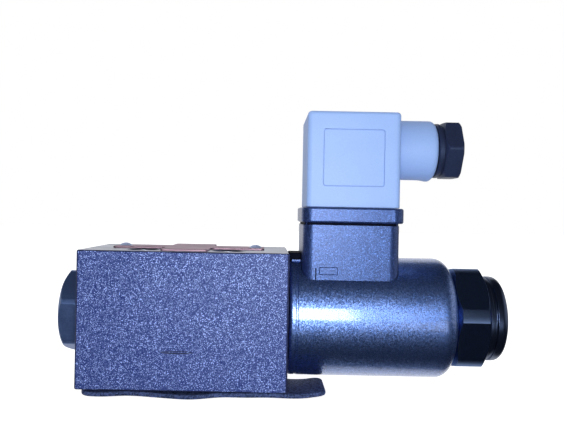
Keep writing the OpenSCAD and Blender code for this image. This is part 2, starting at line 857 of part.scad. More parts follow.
module terminal_screws() {
    color("silver")
        blade_places() {
            translate([0, 0, carrier_z1 - terminal_screw_l])
                cylinder(h = terminal_screw_l + terminal_head_t / 2, r = terminal_screw_r, $fn = 32);
            translate([0, 0, carrier_z1])
                difference() {
                    cylinder(h = terminal_head_t, r = terminal_head_r, $fn = 32);
                    translate([-slot_w / 2, -terminal_head_r - extra, terminal_head_t / 2])
                        cube([slot_w, 2 * (terminal_head_r + extra), terminal_head_t]);
                }
        }
}

module connector_screw() {
    color("silver")
        difference() {
            translate([terminal_x, 0, 0]) {
                translate([0, 0, flange_top - screw_reach])
                    cylinder(h = screw_head_z - flange_top + screw_reach + extra, r = screw_r, $fn = 32);
                translate([0, 0, screw_head_z])
                    cylinder(h = screw_head_t, r = screw_head_r, $fn = 32);
            }
            translate([terminal_x - slot_w / 2, -screw_head_r - extra, screw_head_z + screw_head_t / 2])
                cube([slot_w, 2 * (screw_head_r + extra), screw_head_t]);
        }
}

module gland_nut() {
    color("black")
        difference() {
            union() {
                bar(gland_thread_x0, gland_hex_x + extra, neck_bore_r - fit_gap, gland_z);
                turned(gland_collar_x, gland_z)
                    shoulder_profile(gland_af / 2, gland_collar_l, gland_collar_edge_r);
                hex_bar(
                    gland_hex_x, gland_hex_l, gland_af, gland_turn,
                    hex_r(gland_af) - gland_corner_cut, gland_chamfer, gland_z
                );
            }
            bar(gland_thread_x0 - extra, gland_hex_x + gland_hex_l + extra, cable_r, gland_z);
        }
}

module gland_washer() {
    color("silver")
        pipe(gland_washer_x0, gland_washer_x0 + gland_washer_t, neck_bore_r - fit_gap, cable_r, gland_z);
}

module gland_seal() {
    color("black")
        pipe(grommet_x0, grommet_x0 + grommet_l, neck_bore_r - fit_gap, cable_r, gland_z);
}

// The plate's outline: two arms along the spool and a lobe across it, with filleted inner corners
module nameplate() {
    fillet_x = plate_lobe_l / 2 + plate_fillet_r;
    fillet_y = plate_arm_w / 2 + plate_fillet_r;
    color("silver")
        translate([0, 0, body_h])
            linear_extrude(height = plate_t)
                difference() {
                    union() {
                        rounded_rect(plate_l, plate_arm_w, plate_edge_r);
                        rounded_rect(plate_lobe_l, plate_lobe_w, plate_edge_r);
                        square([2 * fillet_x, 2 * fillet_y], center = true);
                    }
                    for (x = [-fillet_x, fillet_x], y = [-fillet_y, fillet_y])
                        translate([x, y])
                            circle(r = plate_fillet_r);
                    for (side = [-1, 1])
                        translate([side * rivet_x, 0])
                            circle(r = rivet_r + fit_gap, $fn = 32);
                }
}

module nameplate_rivets() {
    ball_r = (rivet_head_r * rivet_head_r + rivet_head_h * rivet_head_h) / (2 * rivet_head_h);
    color("silver")
        for (side = [-1, 1])
            translate([side * rivet_x, 0, body_h + plate_t]) {
                translate([0, 0, -rivet_l - plate_t])
                    cylinder(h = rivet_l + plate_t + face_gap, r = rivet_r, $fn = 32);
                intersection() {
                    translate([0, 0, rivet_head_h - ball_r])
                        sphere(r = ball_r);
                    cylinder(h = rivet_head_h + extra, r = rivet_head_r + extra);
                }
            }
}

// The cover under the ports: plate, pull tab at the front, and a low peg inside each O-ring
module transport_cover() {
    cover_l = body_l - cover_short;
    peg_r = port_seal_mean_r - port_seal_wire_r - pull_gap;
    color("black") {
        difference() {
            translate([0, 0, -cover_t])
                linear_extrude(height = cover_t) {
                    translate([cover_short / 2, 0])
                        rounded_rect(cover_l, body_d, cover_edge_r);
                    translate([end_x - cover_l / 4 + tab_l / 2, -body_d / 2 + tab_w / 2])
                        rounded_rect(cover_l / 2 + tab_l, tab_w, cover_edge_r);
                }
            for (p = screw_places())
                translate([p[0], p[1], -cover_t - extra])
                    cylinder(h = cover_t + 2 * extra, r = screw_hole_r + cover_hole_gap);
        }
        for (p = PORTS)
            translate([p[0], p[1], -cover_t / 2])
                cylinder(h = peg_h + cover_t / 2, r = peg_r, $fn = 32);
    }
}

valve_body();
end_plug();
end_plug_seal();
return_spring();
spring_seat();
spool();
push_pin();
port_seals();
core_tube();
tube_seal();
pole_piece();
armature();
coil_shell();
flux_washer();
coil_bobbin();
coil_winding();
coil_seals();
coil_nut();
end_cap();
override_button();
terminal_housing();
contact_blades();
connector_gasket();
connector_housing();
contact_carrier();
terminal_screws();
connector_screw();
gland_nut();
gland_washer();
gland_seal();
nameplate();
nameplate_rivets();
transport_cover();
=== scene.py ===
"""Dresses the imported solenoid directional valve: finished meshes, procedural finishes, light and a camera.

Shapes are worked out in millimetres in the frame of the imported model, and become metres when a mesh is made.
"""
import json
import logging
import math
from abc import ABC, abstractmethod
from dataclasses import dataclass
from enum import Enum

import bmesh
import bpy
import numpy as np
from mathutils import Matrix, Vector


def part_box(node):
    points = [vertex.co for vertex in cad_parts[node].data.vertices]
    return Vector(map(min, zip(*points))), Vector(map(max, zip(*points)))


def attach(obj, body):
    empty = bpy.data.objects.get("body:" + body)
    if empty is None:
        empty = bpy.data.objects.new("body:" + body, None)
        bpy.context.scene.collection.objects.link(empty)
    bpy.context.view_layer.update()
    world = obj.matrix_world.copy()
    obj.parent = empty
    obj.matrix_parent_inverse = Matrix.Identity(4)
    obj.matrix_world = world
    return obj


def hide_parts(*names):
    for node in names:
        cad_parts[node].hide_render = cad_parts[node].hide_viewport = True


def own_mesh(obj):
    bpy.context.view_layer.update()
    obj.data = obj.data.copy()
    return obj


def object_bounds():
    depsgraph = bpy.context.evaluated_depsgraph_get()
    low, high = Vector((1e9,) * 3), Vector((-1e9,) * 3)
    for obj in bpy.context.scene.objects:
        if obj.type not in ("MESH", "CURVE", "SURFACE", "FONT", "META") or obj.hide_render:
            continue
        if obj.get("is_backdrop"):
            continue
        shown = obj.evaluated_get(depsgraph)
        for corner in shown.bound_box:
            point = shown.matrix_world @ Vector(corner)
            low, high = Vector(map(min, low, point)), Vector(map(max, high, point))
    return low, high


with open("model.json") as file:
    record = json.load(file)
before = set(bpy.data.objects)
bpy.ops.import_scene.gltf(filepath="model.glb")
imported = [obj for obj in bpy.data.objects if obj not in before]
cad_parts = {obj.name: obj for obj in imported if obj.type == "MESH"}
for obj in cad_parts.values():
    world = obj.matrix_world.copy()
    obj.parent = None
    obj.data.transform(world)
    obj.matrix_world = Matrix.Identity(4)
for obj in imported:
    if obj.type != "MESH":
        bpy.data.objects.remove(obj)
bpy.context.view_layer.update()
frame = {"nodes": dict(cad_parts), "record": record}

Array = np.ndarray
Piece = bpy.types.Object
Socket = bpy.types.NodeSocket
Pair = tuple[float, float]
Place = tuple[float, float, float]
Colour = tuple[float, float, float]
MM = 0.001
# How far a shape that is cut away or joined on goes past the surface that it meets.
PAST = 1.0
# Slack of the tests that pick faces by their place.
NEAR = 0.02
# Least share of a normal along an axis for a face that counts as square to it.
FLAT = 0.9
log = logging.getLogger("valve")


class Axis(Enum):
    """The axis that a turned shape goes round."""

    X = "x"
    Z = "z"


class Ends(Enum):
    """How the first and last ring of a skin are closed."""

    CAPS = "caps"
    POLES = "poles"
    LOOP = "loop"


class Cut(Enum):
    """What a tool shape does to a piece."""

    AWAY = "DIFFERENCE"
    ON = "UNION"


class Grain(Enum):
    """The fine pattern of a finish."""

    NOISE = "noise"
    SPECKLE = "speckle"
    TURNED = "turned"
    BRUSHED = "brushed"


def span(node: str) -> tuple[Array, Array]:
    """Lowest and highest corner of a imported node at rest, in millimetres."""
    low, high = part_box(node)
    return np.array(low) / MM, np.array(high) / MM


def unit(vectors: Array) -> Array:
    """Vectors of the same directions and length one."""
    return vectors / np.linalg.norm(vectors, axis=-1, keepdims=True)


def smooth_step(value: Array, start: float, end: float) -> Array:
    """Ramp from 0 at start to 1 at end along the cubic 3t^2 - 2t^3."""
    t = np.clip((value - start) / (end - start), 0.0, 1.0)
    return t * t * (3.0 - 2.0 * t)


def soft_min(a: Array, b: Array, width: float) -> Array:
    """The lesser of two fields, blended by a parabola where they differ by less than width."""
    h = np.clip(0.5 + 0.5 * (b - a) / width, 0.0, 1.0)
    return b * (1.0 - h) + a * h - width * h * (1.0 - h)


def soft_noise(shape: tuple[int, int], step: float, blur: float, seed: int) -> Array:
    """Seeded noise on a periodic grid, blurred by a Gaussian in the frequency domain.

    Args:
        shape: rows and columns of the grid.
        step: spacing of the grid.
        blur: standard deviation of the blur.
        seed: seed of the random draw.

    Returns:
        A field with standard deviation one.
    """
    white = np.random.default_rng(seed).standard_normal(shape)
    rows = np.fft.fftfreq(shape[0], step)[:, None]
    cols = np.fft.fftfreq(shape[1], step)[None, :]
    spectrum = np.fft.fft2(white) * np.exp(-2.0 * (math.pi * blur) ** 2 * (rows**2 + cols**2))
    field = np.fft.ifft2(spectrum).real
    return field / field.std()


def rounded(points: list[Pair], radii: float | list[float], steps: int = 8, closed: bool = True) -> Array:
    """A flat outline with an arc in place of each corner.

    The arc's ends lie r / tan(half the corner's angle) from the corner, with points spread evenly between.

    Args:
        points: corners of the outline, in order.
        radii: one radius for all corners, or one for each.
        steps: points on each arc.
        closed: whether the last corner joins the first; if not, the two ends stay as they are.

    Returns:
        Points of the outline, as an array of pairs.
    """
    corner = np.asarray(points, float)
    radius = np.broadcast_to(np.asarray(radii, float), len(corner))[:, None]
    back = unit(np.roll(corner, 1, 0) - corner)
    ahead = unit(np.roll(corner, -1, 0) - corner)
    half = 0.5 * np.arccos(np.clip((back * ahead).sum(1, keepdims=True), -1.0, 1.0))
    start = corner + back * radius / np.tan(half)
    end = corner + ahead * radius / np.tan(half)
    centre = corner + unit(back + ahead) * radius / np.sin(half)
    sweep = (math.pi - 2.0 * half)[:, None, :]
    t = np.linspace(0.0, 1.0, steps)[None, :, None]
    weight_a = np.sin((1.0 - t) * sweep) / np.sin(sweep)
    weight_b = np.sin(t * sweep) / np.sin(sweep)
    arcs = centre[:, None] + weight_a * (start - centre)[:, None] + weight_b * (end - centre)[:, None]
    if closed:
        return arcs.reshape(-1, 2)
    return np.vstack([corner[:1], arcs[1:-1].reshape(-1, 2), corner[-1:]])


def spaced(outline: Array, step: float) -> Array:
    """The same closed outline with points at even distances of about step along it.

    Args:
        outline: points of the outline.
        step: wanted distance between points.

    Returns:
        The new points.
    """
    path = np.vstack([outline, outline[:1]])
    along = np.concatenate([[0.0], np.cumsum(np.linalg.norm(np.diff(path, axis=0), axis=1))])
    at = np.linspace(0.0, along[-1], int(round(along[-1] / step)), endpoint=False)
    return np.stack([np.interp(at, along, values) for values in path.T], 1)


def stepped(start: Array, run: Array, counts: Array) -> Array:
    """Points at even steps along several stretches.

    Args:
        start: start of each stretch.
        run: way from there to its end.
        counts: number of steps on each stretch.

    Returns:
        All points in order, without the last stretch's end.
    """
    index = np.repeat(np.arange(len(counts)), counts)
    share = (np.arange(counts.sum()) - np.repeat(np.cumsum(counts) - counts, counts)) / counts[index]
    return start[index] + run[index] * share[:, None]


def dense(path: Array, step: float, closed: bool = True) -> Array:
    """The same path with its long stretches cut up.

    Args:
        path: points of the path.
        step: greatest distance between points.
        closed: whether the last point joins the first.

    Returns:
        The path's points with others spaced evenly between them.
    """
    start = path if closed else path[:-1]
    run = (np.roll(path, -1, 0) if closed else path[1:]) - start
    counts = np.maximum(np.ceil(np.linalg.norm(run, axis=1) / step).astype(int), 1)
    points = stepped(start, run, counts)
    return points if closed else np.vstack([points, path[-1:]])


def traced(points: list[tuple[float, float, int]], closed: bool = False) -> Array:
    """A profile through points, with each stretch cut into the number of even steps that its start gives.

    Args:
        points: x, radius and number of steps to the next point.
        closed: whether the last point joins the first.

    Returns:
        Pairs of x and radius.
    """
    corner = np.array([point[:2] for point in points])
    counts = np.array([point[2] for point in (points if closed else points[:-1])])
    path = stepped(corner, np.roll(corner, -1, 0) - corner, counts)
    return path if closed else np.vstack([path, corner[-1:]])


def outward(outline: Array) -> Array:
    """Unit normals of a closed outline that runs counter-clockwise: its tangents turned by a quarter turn."""
    tangent = unit(np.roll(outline, -1, 0) - np.roll(outline, 1, 0))
    return np.stack([tangent[:, 1], -tangent[:, 0]], 1)


def rectangle(width: float, depth: float, radius: float, centre: Pair = (0.0, 0.0)) -> Array:
    """Outline of a rectangle with round corners, counter-clockwise."""
    (x, y), w, d = centre, width / 2.0, depth / 2.0
    return rounded([(x - w, y - d), (x + w, y - d), (x + w, y + d), (x - w, y + d)], radius, steps=10)


def ring_groove(x: float, width: float, radius: float, depth: float, slope: float) -> list[Pair]:
    """Corners of a ring groove in a turned section, from x on, with sides that lean by slope."""
    end, floor = x + width, radius - depth
    return [(x, radius), (x + slope, floor), (end - slope, floor), (end, radius)]


@dataclass(frozen=True)
class Layout:
    """Sizes in millimetres that sub-assemblies share: main axis, screws, ports, moulded box and plug."""

    axis_z: float = 20.3
    screw_x: float = 12.9
    screw_y: float = 12.0
    port_x: float = 7.6
    port_y: float = 9.5
    box_x: float = 50.1
    box_w: float = 29.5
    box_d: float = 28.0
    box_edge_r: float = 3.4
    bridge_w: float = 13.0
    plug_x: float = 50.4
    seat_w: float = 24.3
    seat_d: float = 24.0
    seat_r: float = 1.0

    def screws(self) -> list[Pair]:
        """Places of the four screw holes."""
        return [(x, y) for x in (-self.screw_x, self.screw_x) for y in (-self.screw_y, self.screw_y)]

    def ports(self) -> list[Pair]:
        """Places of the four ports: two along the valve, then two across it."""
        return [(-self.port_x, 0.0), (self.port_x, 0.0), (0.0, -self.port_y), (0.0, self.port_y)]

    def box(self, grow: float = 0.0) -> Array:
        """Outline of the moulded box, larger by grow all round."""
        return rectangle(self.box_w + 2 * grow, self.box_d + 2 * grow, self.box_edge_r, (self.box_x, 0.0))

    def seat(self) -> Array:
        """Outline of the hollow that the box and the cable plug share."""
        return rectangle(self.seat_w, self.seat_d, self.seat_r, (self.plug_x, 0.0))


LAYOUT = Layout()


def ring_angles(count: int) -> Array:
    """Even angles round a full turn."""
    return np.arange(count) * (2.0 * math.pi / count)


def turn(profile: Array, radii: Array, angles: Array, origin: Place, axis: Axis = Axis.X) -> Array:
    """Rings of a turned shape: each profile station carried round an axis.

    Args:
        profile: positions of the stations along the axis.
        radii: radius for each station and angle, or for each station.
        angles: angles round the axis.
        origin: a point of the axis.
        axis: direction of the axis.

    Returns:
        Points as stations by angles by three.
    """
    radius = np.broadcast_to(radii if radii.ndim == 2 else radii[:, None], (len(profile), len(angles)))
    along = np.broadcast_to(profile[:, None], radius.shape)
    across, up = radius * np.cos(angles), radius * np.sin(angles)
    x, y, z = origin
    if axis is Axis.X:
        return np.stack([along + x, across + y, up + z], -1)
    return np.stack([across + x, up + y, along + z], -1)


def lathe(profile: Array, count: int = 192, height: float = LAYOUT.axis_z) -> Array:
    """Rings of a profile of (x, radius) pairs turned about a line along X at a height."""
    return turn(profile[:, 0], profile[:, 1], ring_angles(count), (0.0, 0.0, height))


def hex_lathe(profile: Array, across: float, corner: float, hexed: Pair, height: float = LAYOUT.axis_z,
              blend: float = 0.08) -> Array:
    """Rings of a turned profile that a hexagon trims between two stations.

    The hexagon's edge is half its width over the cosine of the angle from a flat's middle away from the axis.

    Args:
        profile: pairs of x and radius.
        across: size of the hexagon across its flats.
        corner: angle of one corner, in degrees.
        hexed: first and last x of the stretch that the hexagon trims.
        height: height of the axis.
        blend: width of the round edge between a flat and the turned profile.

    Returns:
        Points as stations by angles by three.
    """
    angles = ring_angles(480)
    sixth = math.pi / 3.0
    edge = across / 2.0 / np.cos(np.mod(angles - math.radians(corner), sixth) - sixth / 2.0)
    turned = np.broadcast_to(profile[:, 1:], (len(profile), len(angles)))
    flats = np.broadcast_to(edge, turned.shape)
    inside = ((profile[:, 0] >= hexed[0]) & (profile[:, 0] <= hexed[1]))[:, None]
    radii = np.where(inside, soft_min(turned, flats, blend), turned)
    return turn(profile[:, 0], radii, angles, (0.0, 0.0, height))


def post(place: Pair, steps: list[Pair], count: int = 96) -> Array:
    """Rings of an upright round bar from its (z, radius) steps."""
    pairs = np.asarray(steps, float)
    return turn(pairs[:, 0], pairs[:, 1], ring_angles(count), (*place, 0.0), Axis.Z)


def column(outline: Array, heights: Array, inset: Array) -> Array:
    """Rings of an outline carried upwards, each drawn in along its normals.

    Args:
        outline: closed outline, counter-clockwise.
        heights: height of each ring.
        inset: how far each ring is drawn in, one value for each height, or for each height and point.

    Returns:
        Points as heights by outline points by three.
    """
    inward = inset if inset.ndim == 2 else inset[:, None]
    flat = outline[None] - outward(outline)[None] * inward[..., None]
    level = np.broadcast_to(heights[:, None, None], flat.shape[:2] + (1,))
    return np.concatenate([flat, level], -1)


def prism(outline: Array, low: float, high: float) -> Array:
    """Rings of a column with sharp ends."""
    return column(outline, np.array([low, high]), np.zeros(2))


def hoop(outline: Array, low: float, high: float, width: float) -> Array:
    """Rings of a square-edged hoop inside an outline, to be closed as a loop."""
    return column(outline, np.array([low, low, high, high]), width * np.array([1.0, 0.0, 0.0, 1.0]))


def edge_inset(heights: Array, radius: float, top: bool = True, bottom: bool = True) -> Array:
    """Inset that rounds the ends of a column: r - sqrt(r^2 - d^2), with d the reach into the end's last r.

    Args:
        heights: rising heights of the rings.
        radius: radius of the round edge.
        top: whether the upper edge is round.
        bottom: whether the lower edge is round.

    Returns:
        Inset for each height.
    """
    low = np.clip(radius - (heights - heights[0]), 0.0, radius) * bottom
    high = np.clip(radius - (heights[-1] - heights), 0.0, radius) * top
    reach = np.maximum(low, high)
    return radius - np.sqrt(np.maximum(radius**2 - reach**2, 0.0))


def edge_levels(low: float, high: float, radius: float, step: float) -> Array:
    """Heights of a column's rings, evenly spaced between the edges and crowded where the edges are round.

    Args:
        low: lowest height.
        high: highest height.
        radius: radius of the round edges.
        step: about the distance between rings elsewhere.

    Returns:
        Rising heights.
    """
    bend = radius * (1.0 - np.cos(np.linspace(0.0, math.pi / 2.0, 7)))
    middle = np.linspace(low + radius, high - radius, max(int((high - low) / step), 2))
    return np.unique(np.round(np.concatenate([low + bend, middle, high - bend]), 5))


def slab(outline: Array, low: float, high: float, radius: float, step: float, top: bool = True) -> Array:
    """Rings of a block over an outline, with its lower edge round and, if wanted, its upper edge too."""
    heights = edge_levels(low, high, radius, step)
    return column(outline, heights, edge_inset(heights, radius, top))


def sideways(rings: Array) -> Array:
    """The same rings with Y and Z swapped, so that a column runs from front to back."""
    return rings[..., [0, 2, 1]]


def skin(name: str, rings: Array, ends: Ends = Ends.CAPS) -> Piece:
    """Makes a closed mesh over rings of points.

    Point j of ring i joins points j + 1 of its own ring and j of the next ring as a quad.

    Args:
        name: name of the object.
        rings: points as rings by points by three, in millimetres.
        ends: how the first and last ring are closed.

    Returns:
        The new object, at the origin, with its faces pointing outwards.
    """
    rows, cols = rings.shape[:2]
    i = np.arange(rows if ends is Ends.LOOP else rows - 1)[:, None]
    j = np.arange(cols)[None, :]
    k = (j + 1) % cols
    n = (i + 1) % rows
    quads = np.stack([i * cols + j, i * cols + k, n * cols + k, n * cols + j], -1).reshape(-1, 4).tolist()
    if ends is Ends.CAPS:
        quads += [list(range(cols))[::-1], list(range((rows - 1) * cols, rows * cols))]
    mesh = bpy.data.meshes.new(name)
    mesh.from_pydata((rings.reshape(-1, 3) * MM).tolist(), [], quads)
    work = bmesh.new()
    work.from_mesh(mesh)
    bmesh.ops.remove_doubles(work, verts=work.verts, dist=1e-7)
    bmesh.ops.recalc_face_normals(work, faces=work.faces)
    work.to_mesh(mesh)
    work.free()
    piece = bpy.data.objects.new(name, mesh)
    bpy.context.scene.collection.objects.link(piece)
    return piece


def carve(piece: Piece, rings: Array, ends: Ends = Ends.CAPS, cut: Cut = Cut.AWAY) -> None:
    """Cuts a shape away from a piece, or joins it on.

    Args:
        piece: object that is changed.
        rings: points of the shape, as for a skin.
        ends: how the shape is closed.
        cut: what the shape does.
    """
    tool = skin("tool", rings, ends)
    modifier = piece.modifiers.new("carve", "BOOLEAN")
    modifier.object = tool
    modifier.operation = cut.value
    modifier.solver = "MANIFOLD"
    shape = piece.evaluated_get(bpy.context.evaluated_depsgraph_get())
    mesh = bpy.data.meshes.new_from_object(shape)
    piece.modifiers.clear()
    old = piece.data
    piece.data = mesh
    bpy.data.meshes.remove(old)
    bpy.data.objects.remove(tool)


def shade(piece: Piece, angle: float = 32.0) -> None:
    """Smooths a piece's faces and weighs its normals by face area.

    Args:
        piece: object to shade.
        angle: least angle of the edges that stay sharp, in degrees.
    """
    mesh = piece.data
    mesh.polygons.foreach_set("use_smooth", np.ones(len(mesh.polygons), bool))
    mesh.set_sharp_from_angle(angle=math.radians(angle))
    weighted = piece.modifiers.new("weighted", "WEIGHTED_NORMAL")
    weighted.keep_sharp = True


def face_data(piece: Piece) -> tuple[Array, Array]:
    """Reads a piece's faces.

    Args:
        piece: object with the faces.

    Returns:
        Centres in millimetres and normals, each as faces by three.
    """
    count = len(piece.data.polygons)
    centres, normals = np.empty(count * 3), np.empty(count * 3)
    piece.data.polygons.foreach_get("center", centres)
    piece.data.polygons.foreach_get("normal", normals)
    return centres.reshape(-1, 3) / MM, normals.reshape(-1, 3)


class Net:
    """A shader tree in the making."""

    def __init__(self, tree: bpy.types.NodeTree) -> None:
        """Empties the tree."""
        tree.nodes.clear()
        self.tree = tree

    def add(self, kind: str, sockets: dict | None = None, **settings: object) -> bpy.types.Node:
        """Adds a node.

        Args:
            kind: type of node, without its ShaderNode prefix.
            sockets: value or output socket for each input, by name or number.
            settings: properties of the node.

        Returns:
            The new node.
        """
        node = self.tree.nodes.new("ShaderNode" + kind)
        for name, value in settings.items():
            setattr(node, name, value)
        for name, value in (sockets or {}).items():
            if isinstance(value, Socket):
                self.tree.links.new(value, node.inputs[name])
            else:
                node.inputs[name].default_value = value
        return node

    def mix(self, factor: Socket, low: object, high: object) -> Socket:
        """Colour between low and high by a factor."""
        return self.add("Mix", {0: factor, 6: low, 7: high}, data_type="RGBA").outputs[2]

    def maths(self, operation: str, a: object, b: object) -> Socket:
        """Result of a sum on two values."""
        return self.add("Math", {0: a, 1: b}, operation=operation).outputs[0]

    def blend(self, a: Socket, b: Socket, share: float) -> Socket:
        """Two values added, with the second one's share given."""
        return self.maths("ADD", self.maths("MULTIPLY", a, 1.0 - share), self.maths("MULTIPLY", b, share))

    def vector(self, operation: str, a: object, b: object = (0.0, 0.0, 0.0)) -> Socket:
        """Result of a sum on two vectors."""
        return self.add("VectorMath", {0: a, 1: b}, operation=operation).outputs[0]

    def ramp(self, value: Socket, start: float, end: float, low: float = 0.0, high: float = 1.0) -> Socket:
        """A value carried from the range start to end into the range low to high, and held there."""
        sockets = {"Value": value, "From Min": start, "From Max": end, "To Min": low, "To Max": high}
        return self.add("MapRange", sockets).outputs[0]


class SurfaceNet(Net):
    """The shader tree of a finish, which starts from the object's coordinates."""

    def __init__(self, tree: bpy.types.NodeTree) -> None:
        """Empties the tree and adds the coordinates."""
        super().__init__(tree)
        self.place = self.add("TexCoord").outputs["Object"]


def opaque(colour: Colour) -> tuple[float, float, float, float]:
    """The colour with full alpha."""
    return (*colour, 1.0)


@dataclass(frozen=True)
class Finish:
    """A surface finish: two colours mixed by a fine grain and broad clouds, with roughness and bump to match.

    Attributes:
        name: name of the material.
        slot: material slot of the record.
        dark: linear colour in the hollows of the grain.
        light: linear colour on its heights.
        rough: roughness where dark and where light.
        grain: kind of fine pattern.
        grain_mm: size of the pattern.
        bump_mm: depth of the pattern.
        contrast: half-width of the band of the pattern that goes from dark to light.
        clouds: share of the broad clouds in the pattern.
        clouds_mm: size of the clouds.
        metallic: 1 for bare metal.
        specular: strength of the surface reflection.
        tint: colour of the surface reflection.
        ior: index of refraction.
        tilt: how far the flakes of a speckle lean, as a share of the normal.
        streaks: share of fine streaks round the X axis in the pattern.
        sparks: share of the flakes that take the full light colour.
        dull: share of the pattern that is left between the sparks.
        coat: weight of a clear gloss over the finish.
        coat_rough: roughness of that gloss.
        streak_length: length of a streak over its width.
        flake_share: share of the flakes in the pattern of a speckle.
        detail: layers of the fine noise and of the clouds.
        falloff: strength of each layer of the fine noise over the one before.
    """

    name: str
    slot: str
    dark: Colour
    light: Colour
    rough: Pair = (0.5, 0.6)
    grain: Grain = Grain.NOISE
    grain_mm: float = 0.6
    bump_mm: float = 0.02
    contrast: float = 0.2
    clouds: float = 0.3
    clouds_mm: float = 9.0
    metallic: float = 0.0
    specular: float = 0.5
    tint: Colour = (1.0, 1.0, 1.0)
    ior: float = 1.5
    tilt: float = 0.0
    streaks: float = 0.0
    sparks: float = 0.0
    dull: float = 0.15
    coat: float = 0.0
    coat_rough: float = 0.15
    streak_length: float = 40.0
    flake_share: float = 0.85
    detail: Pair = (3.0, 4.0)
    falloff: float = 0.6

    def scaled(self, net: SurfaceNet, grain: Grain) -> Socket:
        """Adds coordinates stretched to a kind of grain.

        Args:
            net: tree that gets the nodes.
            grain: kind of grain.

        Returns:
            Socket of the coordinates, in patterns a metre.
        """
        fine = 1.0 / (self.grain_mm * MM)
        long = fine / self.streak_length
        scales = {Grain.TURNED: (fine, long, long), Grain.BRUSHED: (long, fine, fine)}
        scale = scales.get(grain, (fine, fine, fine))
        return net.add("Mapping", {"Vector": net.place, "Scale": scale}).outputs[0]

    def noise(self, net: SurfaceNet, grain: Grain) -> Socket:
        """Adds noise stretched to a kind of grain."""
        sockets = {"Scale": 1.0, "Detail": self.detail[0], "Roughness": self.falloff}
        return net.add("TexNoise", {"Vector": self.scaled(net, grain), **sockets}).outputs[0]

    def flakes(self, net: SurfaceNet) -> Socket:
        """Adds random colours on the cells of a speckle."""
        sockets = {"Vector": self.scaled(net, Grain.SPECKLE), "Scale": 1.0, "Randomness": 1.0}
        return net.add("TexVoronoi", sockets).outputs["Color"]

    def pattern(self, net: SurfaceNet) -> Socket:
        """Adds the fine pattern to a tree.

        Args:
            net: tree that gets the nodes.

        Returns:
            Socket of the pattern, about 0 to 1.
        """
        value = self.noise(net, self.grain)
        if self.grain is Grain.SPECKLE:
            share = net.add("SeparateColor", {"Color": self.flakes(net)}).outputs[0]
            value = net.blend(value, share, self.flake_share)
        if self.streaks > 0.0:
            value = net.blend(value, self.noise(net, Grain.TURNED), self.streaks)
        return value

    def sparkle(self, net: SurfaceNet, blend: Socket) -> Socket:
        """Holds a blend in its darker part and lifts a random share of the flakes to full light.

        Args:
            net: tree that gets the nodes.
            blend: socket of the blend from dark to light.

        Returns:
            Socket of the new blend.
        """
        pick = net.add("SeparateColor", {"Color": self.flakes(net)}).outputs[1]
        lit = net.ramp(pick, 1.0 - self.sparks, 1.0 - self.sparks / 2.0)
        return net.maths("MAXIMUM", net.maths("MULTIPLY", blend, self.dull), lit)

    def normal(self, net: SurfaceNet, height: Socket) -> Socket:
        """Adds the normal: bumped by the pattern, then leant to a random side on each flake.

        Args:
            net: tree that gets the nodes.
            height: socket of the pattern.

        Returns:
            Socket of the normal.
        """
        sockets = {"Height": height, "Distance": self.bump_mm * MM, "Strength": 1.0}
        bump = net.add("Bump", sockets).outputs[0]
        if self.tilt == 0.0:
            return bump
        lean = net.vector("SUBTRACT", self.flakes(net), (0.5, 0.5, 0.5))
        lean = net.vector("MULTIPLY", lean, (self.tilt, self.tilt, self.tilt))
        return net.vector("NORMALIZE", net.vector("ADD", bump, lean))

    def material(self) -> bpy.types.Material:
        """Makes the finish's material, or finds the one already made.

        Returns:
            The material.
        """
        if self.name in bpy.data.materials:
            return bpy.data.materials[self.name]
        made = bpy.data.materials.new(self.name)
        made.use_nodes = True
        net = SurfaceNet(made.node_tree)
        fine = self.pattern(net)
        sockets = {"Vector": net.place, "Scale": 1.0 / (self.clouds_mm * MM), "Detail": self.detail[1]}
        broad = net.add("TexNoise", sockets).outputs[0]
        blend = net.ramp(net.blend(fine, broad, self.clouds), 0.5 - self.contrast, 0.5 + self.contrast)
        if self.sparks > 0.0:
            blend = self.sparkle(net, blend)
        shader = net.add("BsdfPrincipled", {
            "Base Color": net.mix(blend, opaque(self.dark), opaque(self.light)),
            "Metallic": self.metallic,
            "Roughness": net.ramp(blend, 0.0, 1.0, *self.rough),
            "Specular IOR Level": self.specular,
            "Specular Tint": opaque(self.tint),
            "IOR": self.ior,
            "Coat Weight": self.coat,
            "Coat Roughness": self.coat_rough,
            "Normal": self.normal(net, fine),
        })
        net.add("OutputMaterial", {"Surface": shader.outputs[0]})
        return made


WHITE: Colour = (1.0, 1.0, 1.0)
BLUE_GLOSS: Colour = (0.42, 0.60, 1.0)
CASTING = Finish(
    "cast_skin", "casting", (0.006, 0.018, 0.160), (0.36, 0.49, 1.0), (0.44, 0.32), Grain.SPECKLE, 0.205,
    0.012, contrast=0.34, clouds=0.04, clouds_mm=7.0, specular=0.6, tint=(0.56, 0.70, 1.0), tilt=0.3,
    sparks=0.20)
# Painted shade: a near-black finish for the body's rounded edges and the scar, where the faces turn from the
# light.
CASTING_EDGE_SHADE = Finish(
    "cast_edge_shade", "casting", (0.008, 0.013, 0.050), (0.026, 0.038, 0.120), (0.50, 0.42), specular=0.4)
GROUND = Finish(
    "ground_face", "casting", (0.30, 0.32, 0.40), (0.52, 0.55, 0.66), (0.46, 0.34), Grain.BRUSHED, 0.3, 0.004,
    contrast=0.22, clouds=0.5, clouds_mm=10.0, metallic=1.0)
PLUG_STEEL = Finish(
    "plug_plating", "plated_plug", (0.088, 0.150, 0.340), (0.140, 0.230, 0.500), (0.40, 0.48), Grain.NOISE,
    0.5, 0.012, clouds=0.5, clouds_mm=5.0, metallic=0.8, specular=0.6)
ZINC = Finish(
    "zinc_plating", "zinc_shell", (0.080, 0.165, 0.46), (0.26, 0.40, 0.86), (0.47, 0.39), Grain.SPECKLE, 0.28,
    0.004, contrast=0.24, clouds=0.22, clouds_mm=6.0, metallic=1.0, tilt=0.20, streaks=0.3, coat=1.0,
    coat_rough=0.11)
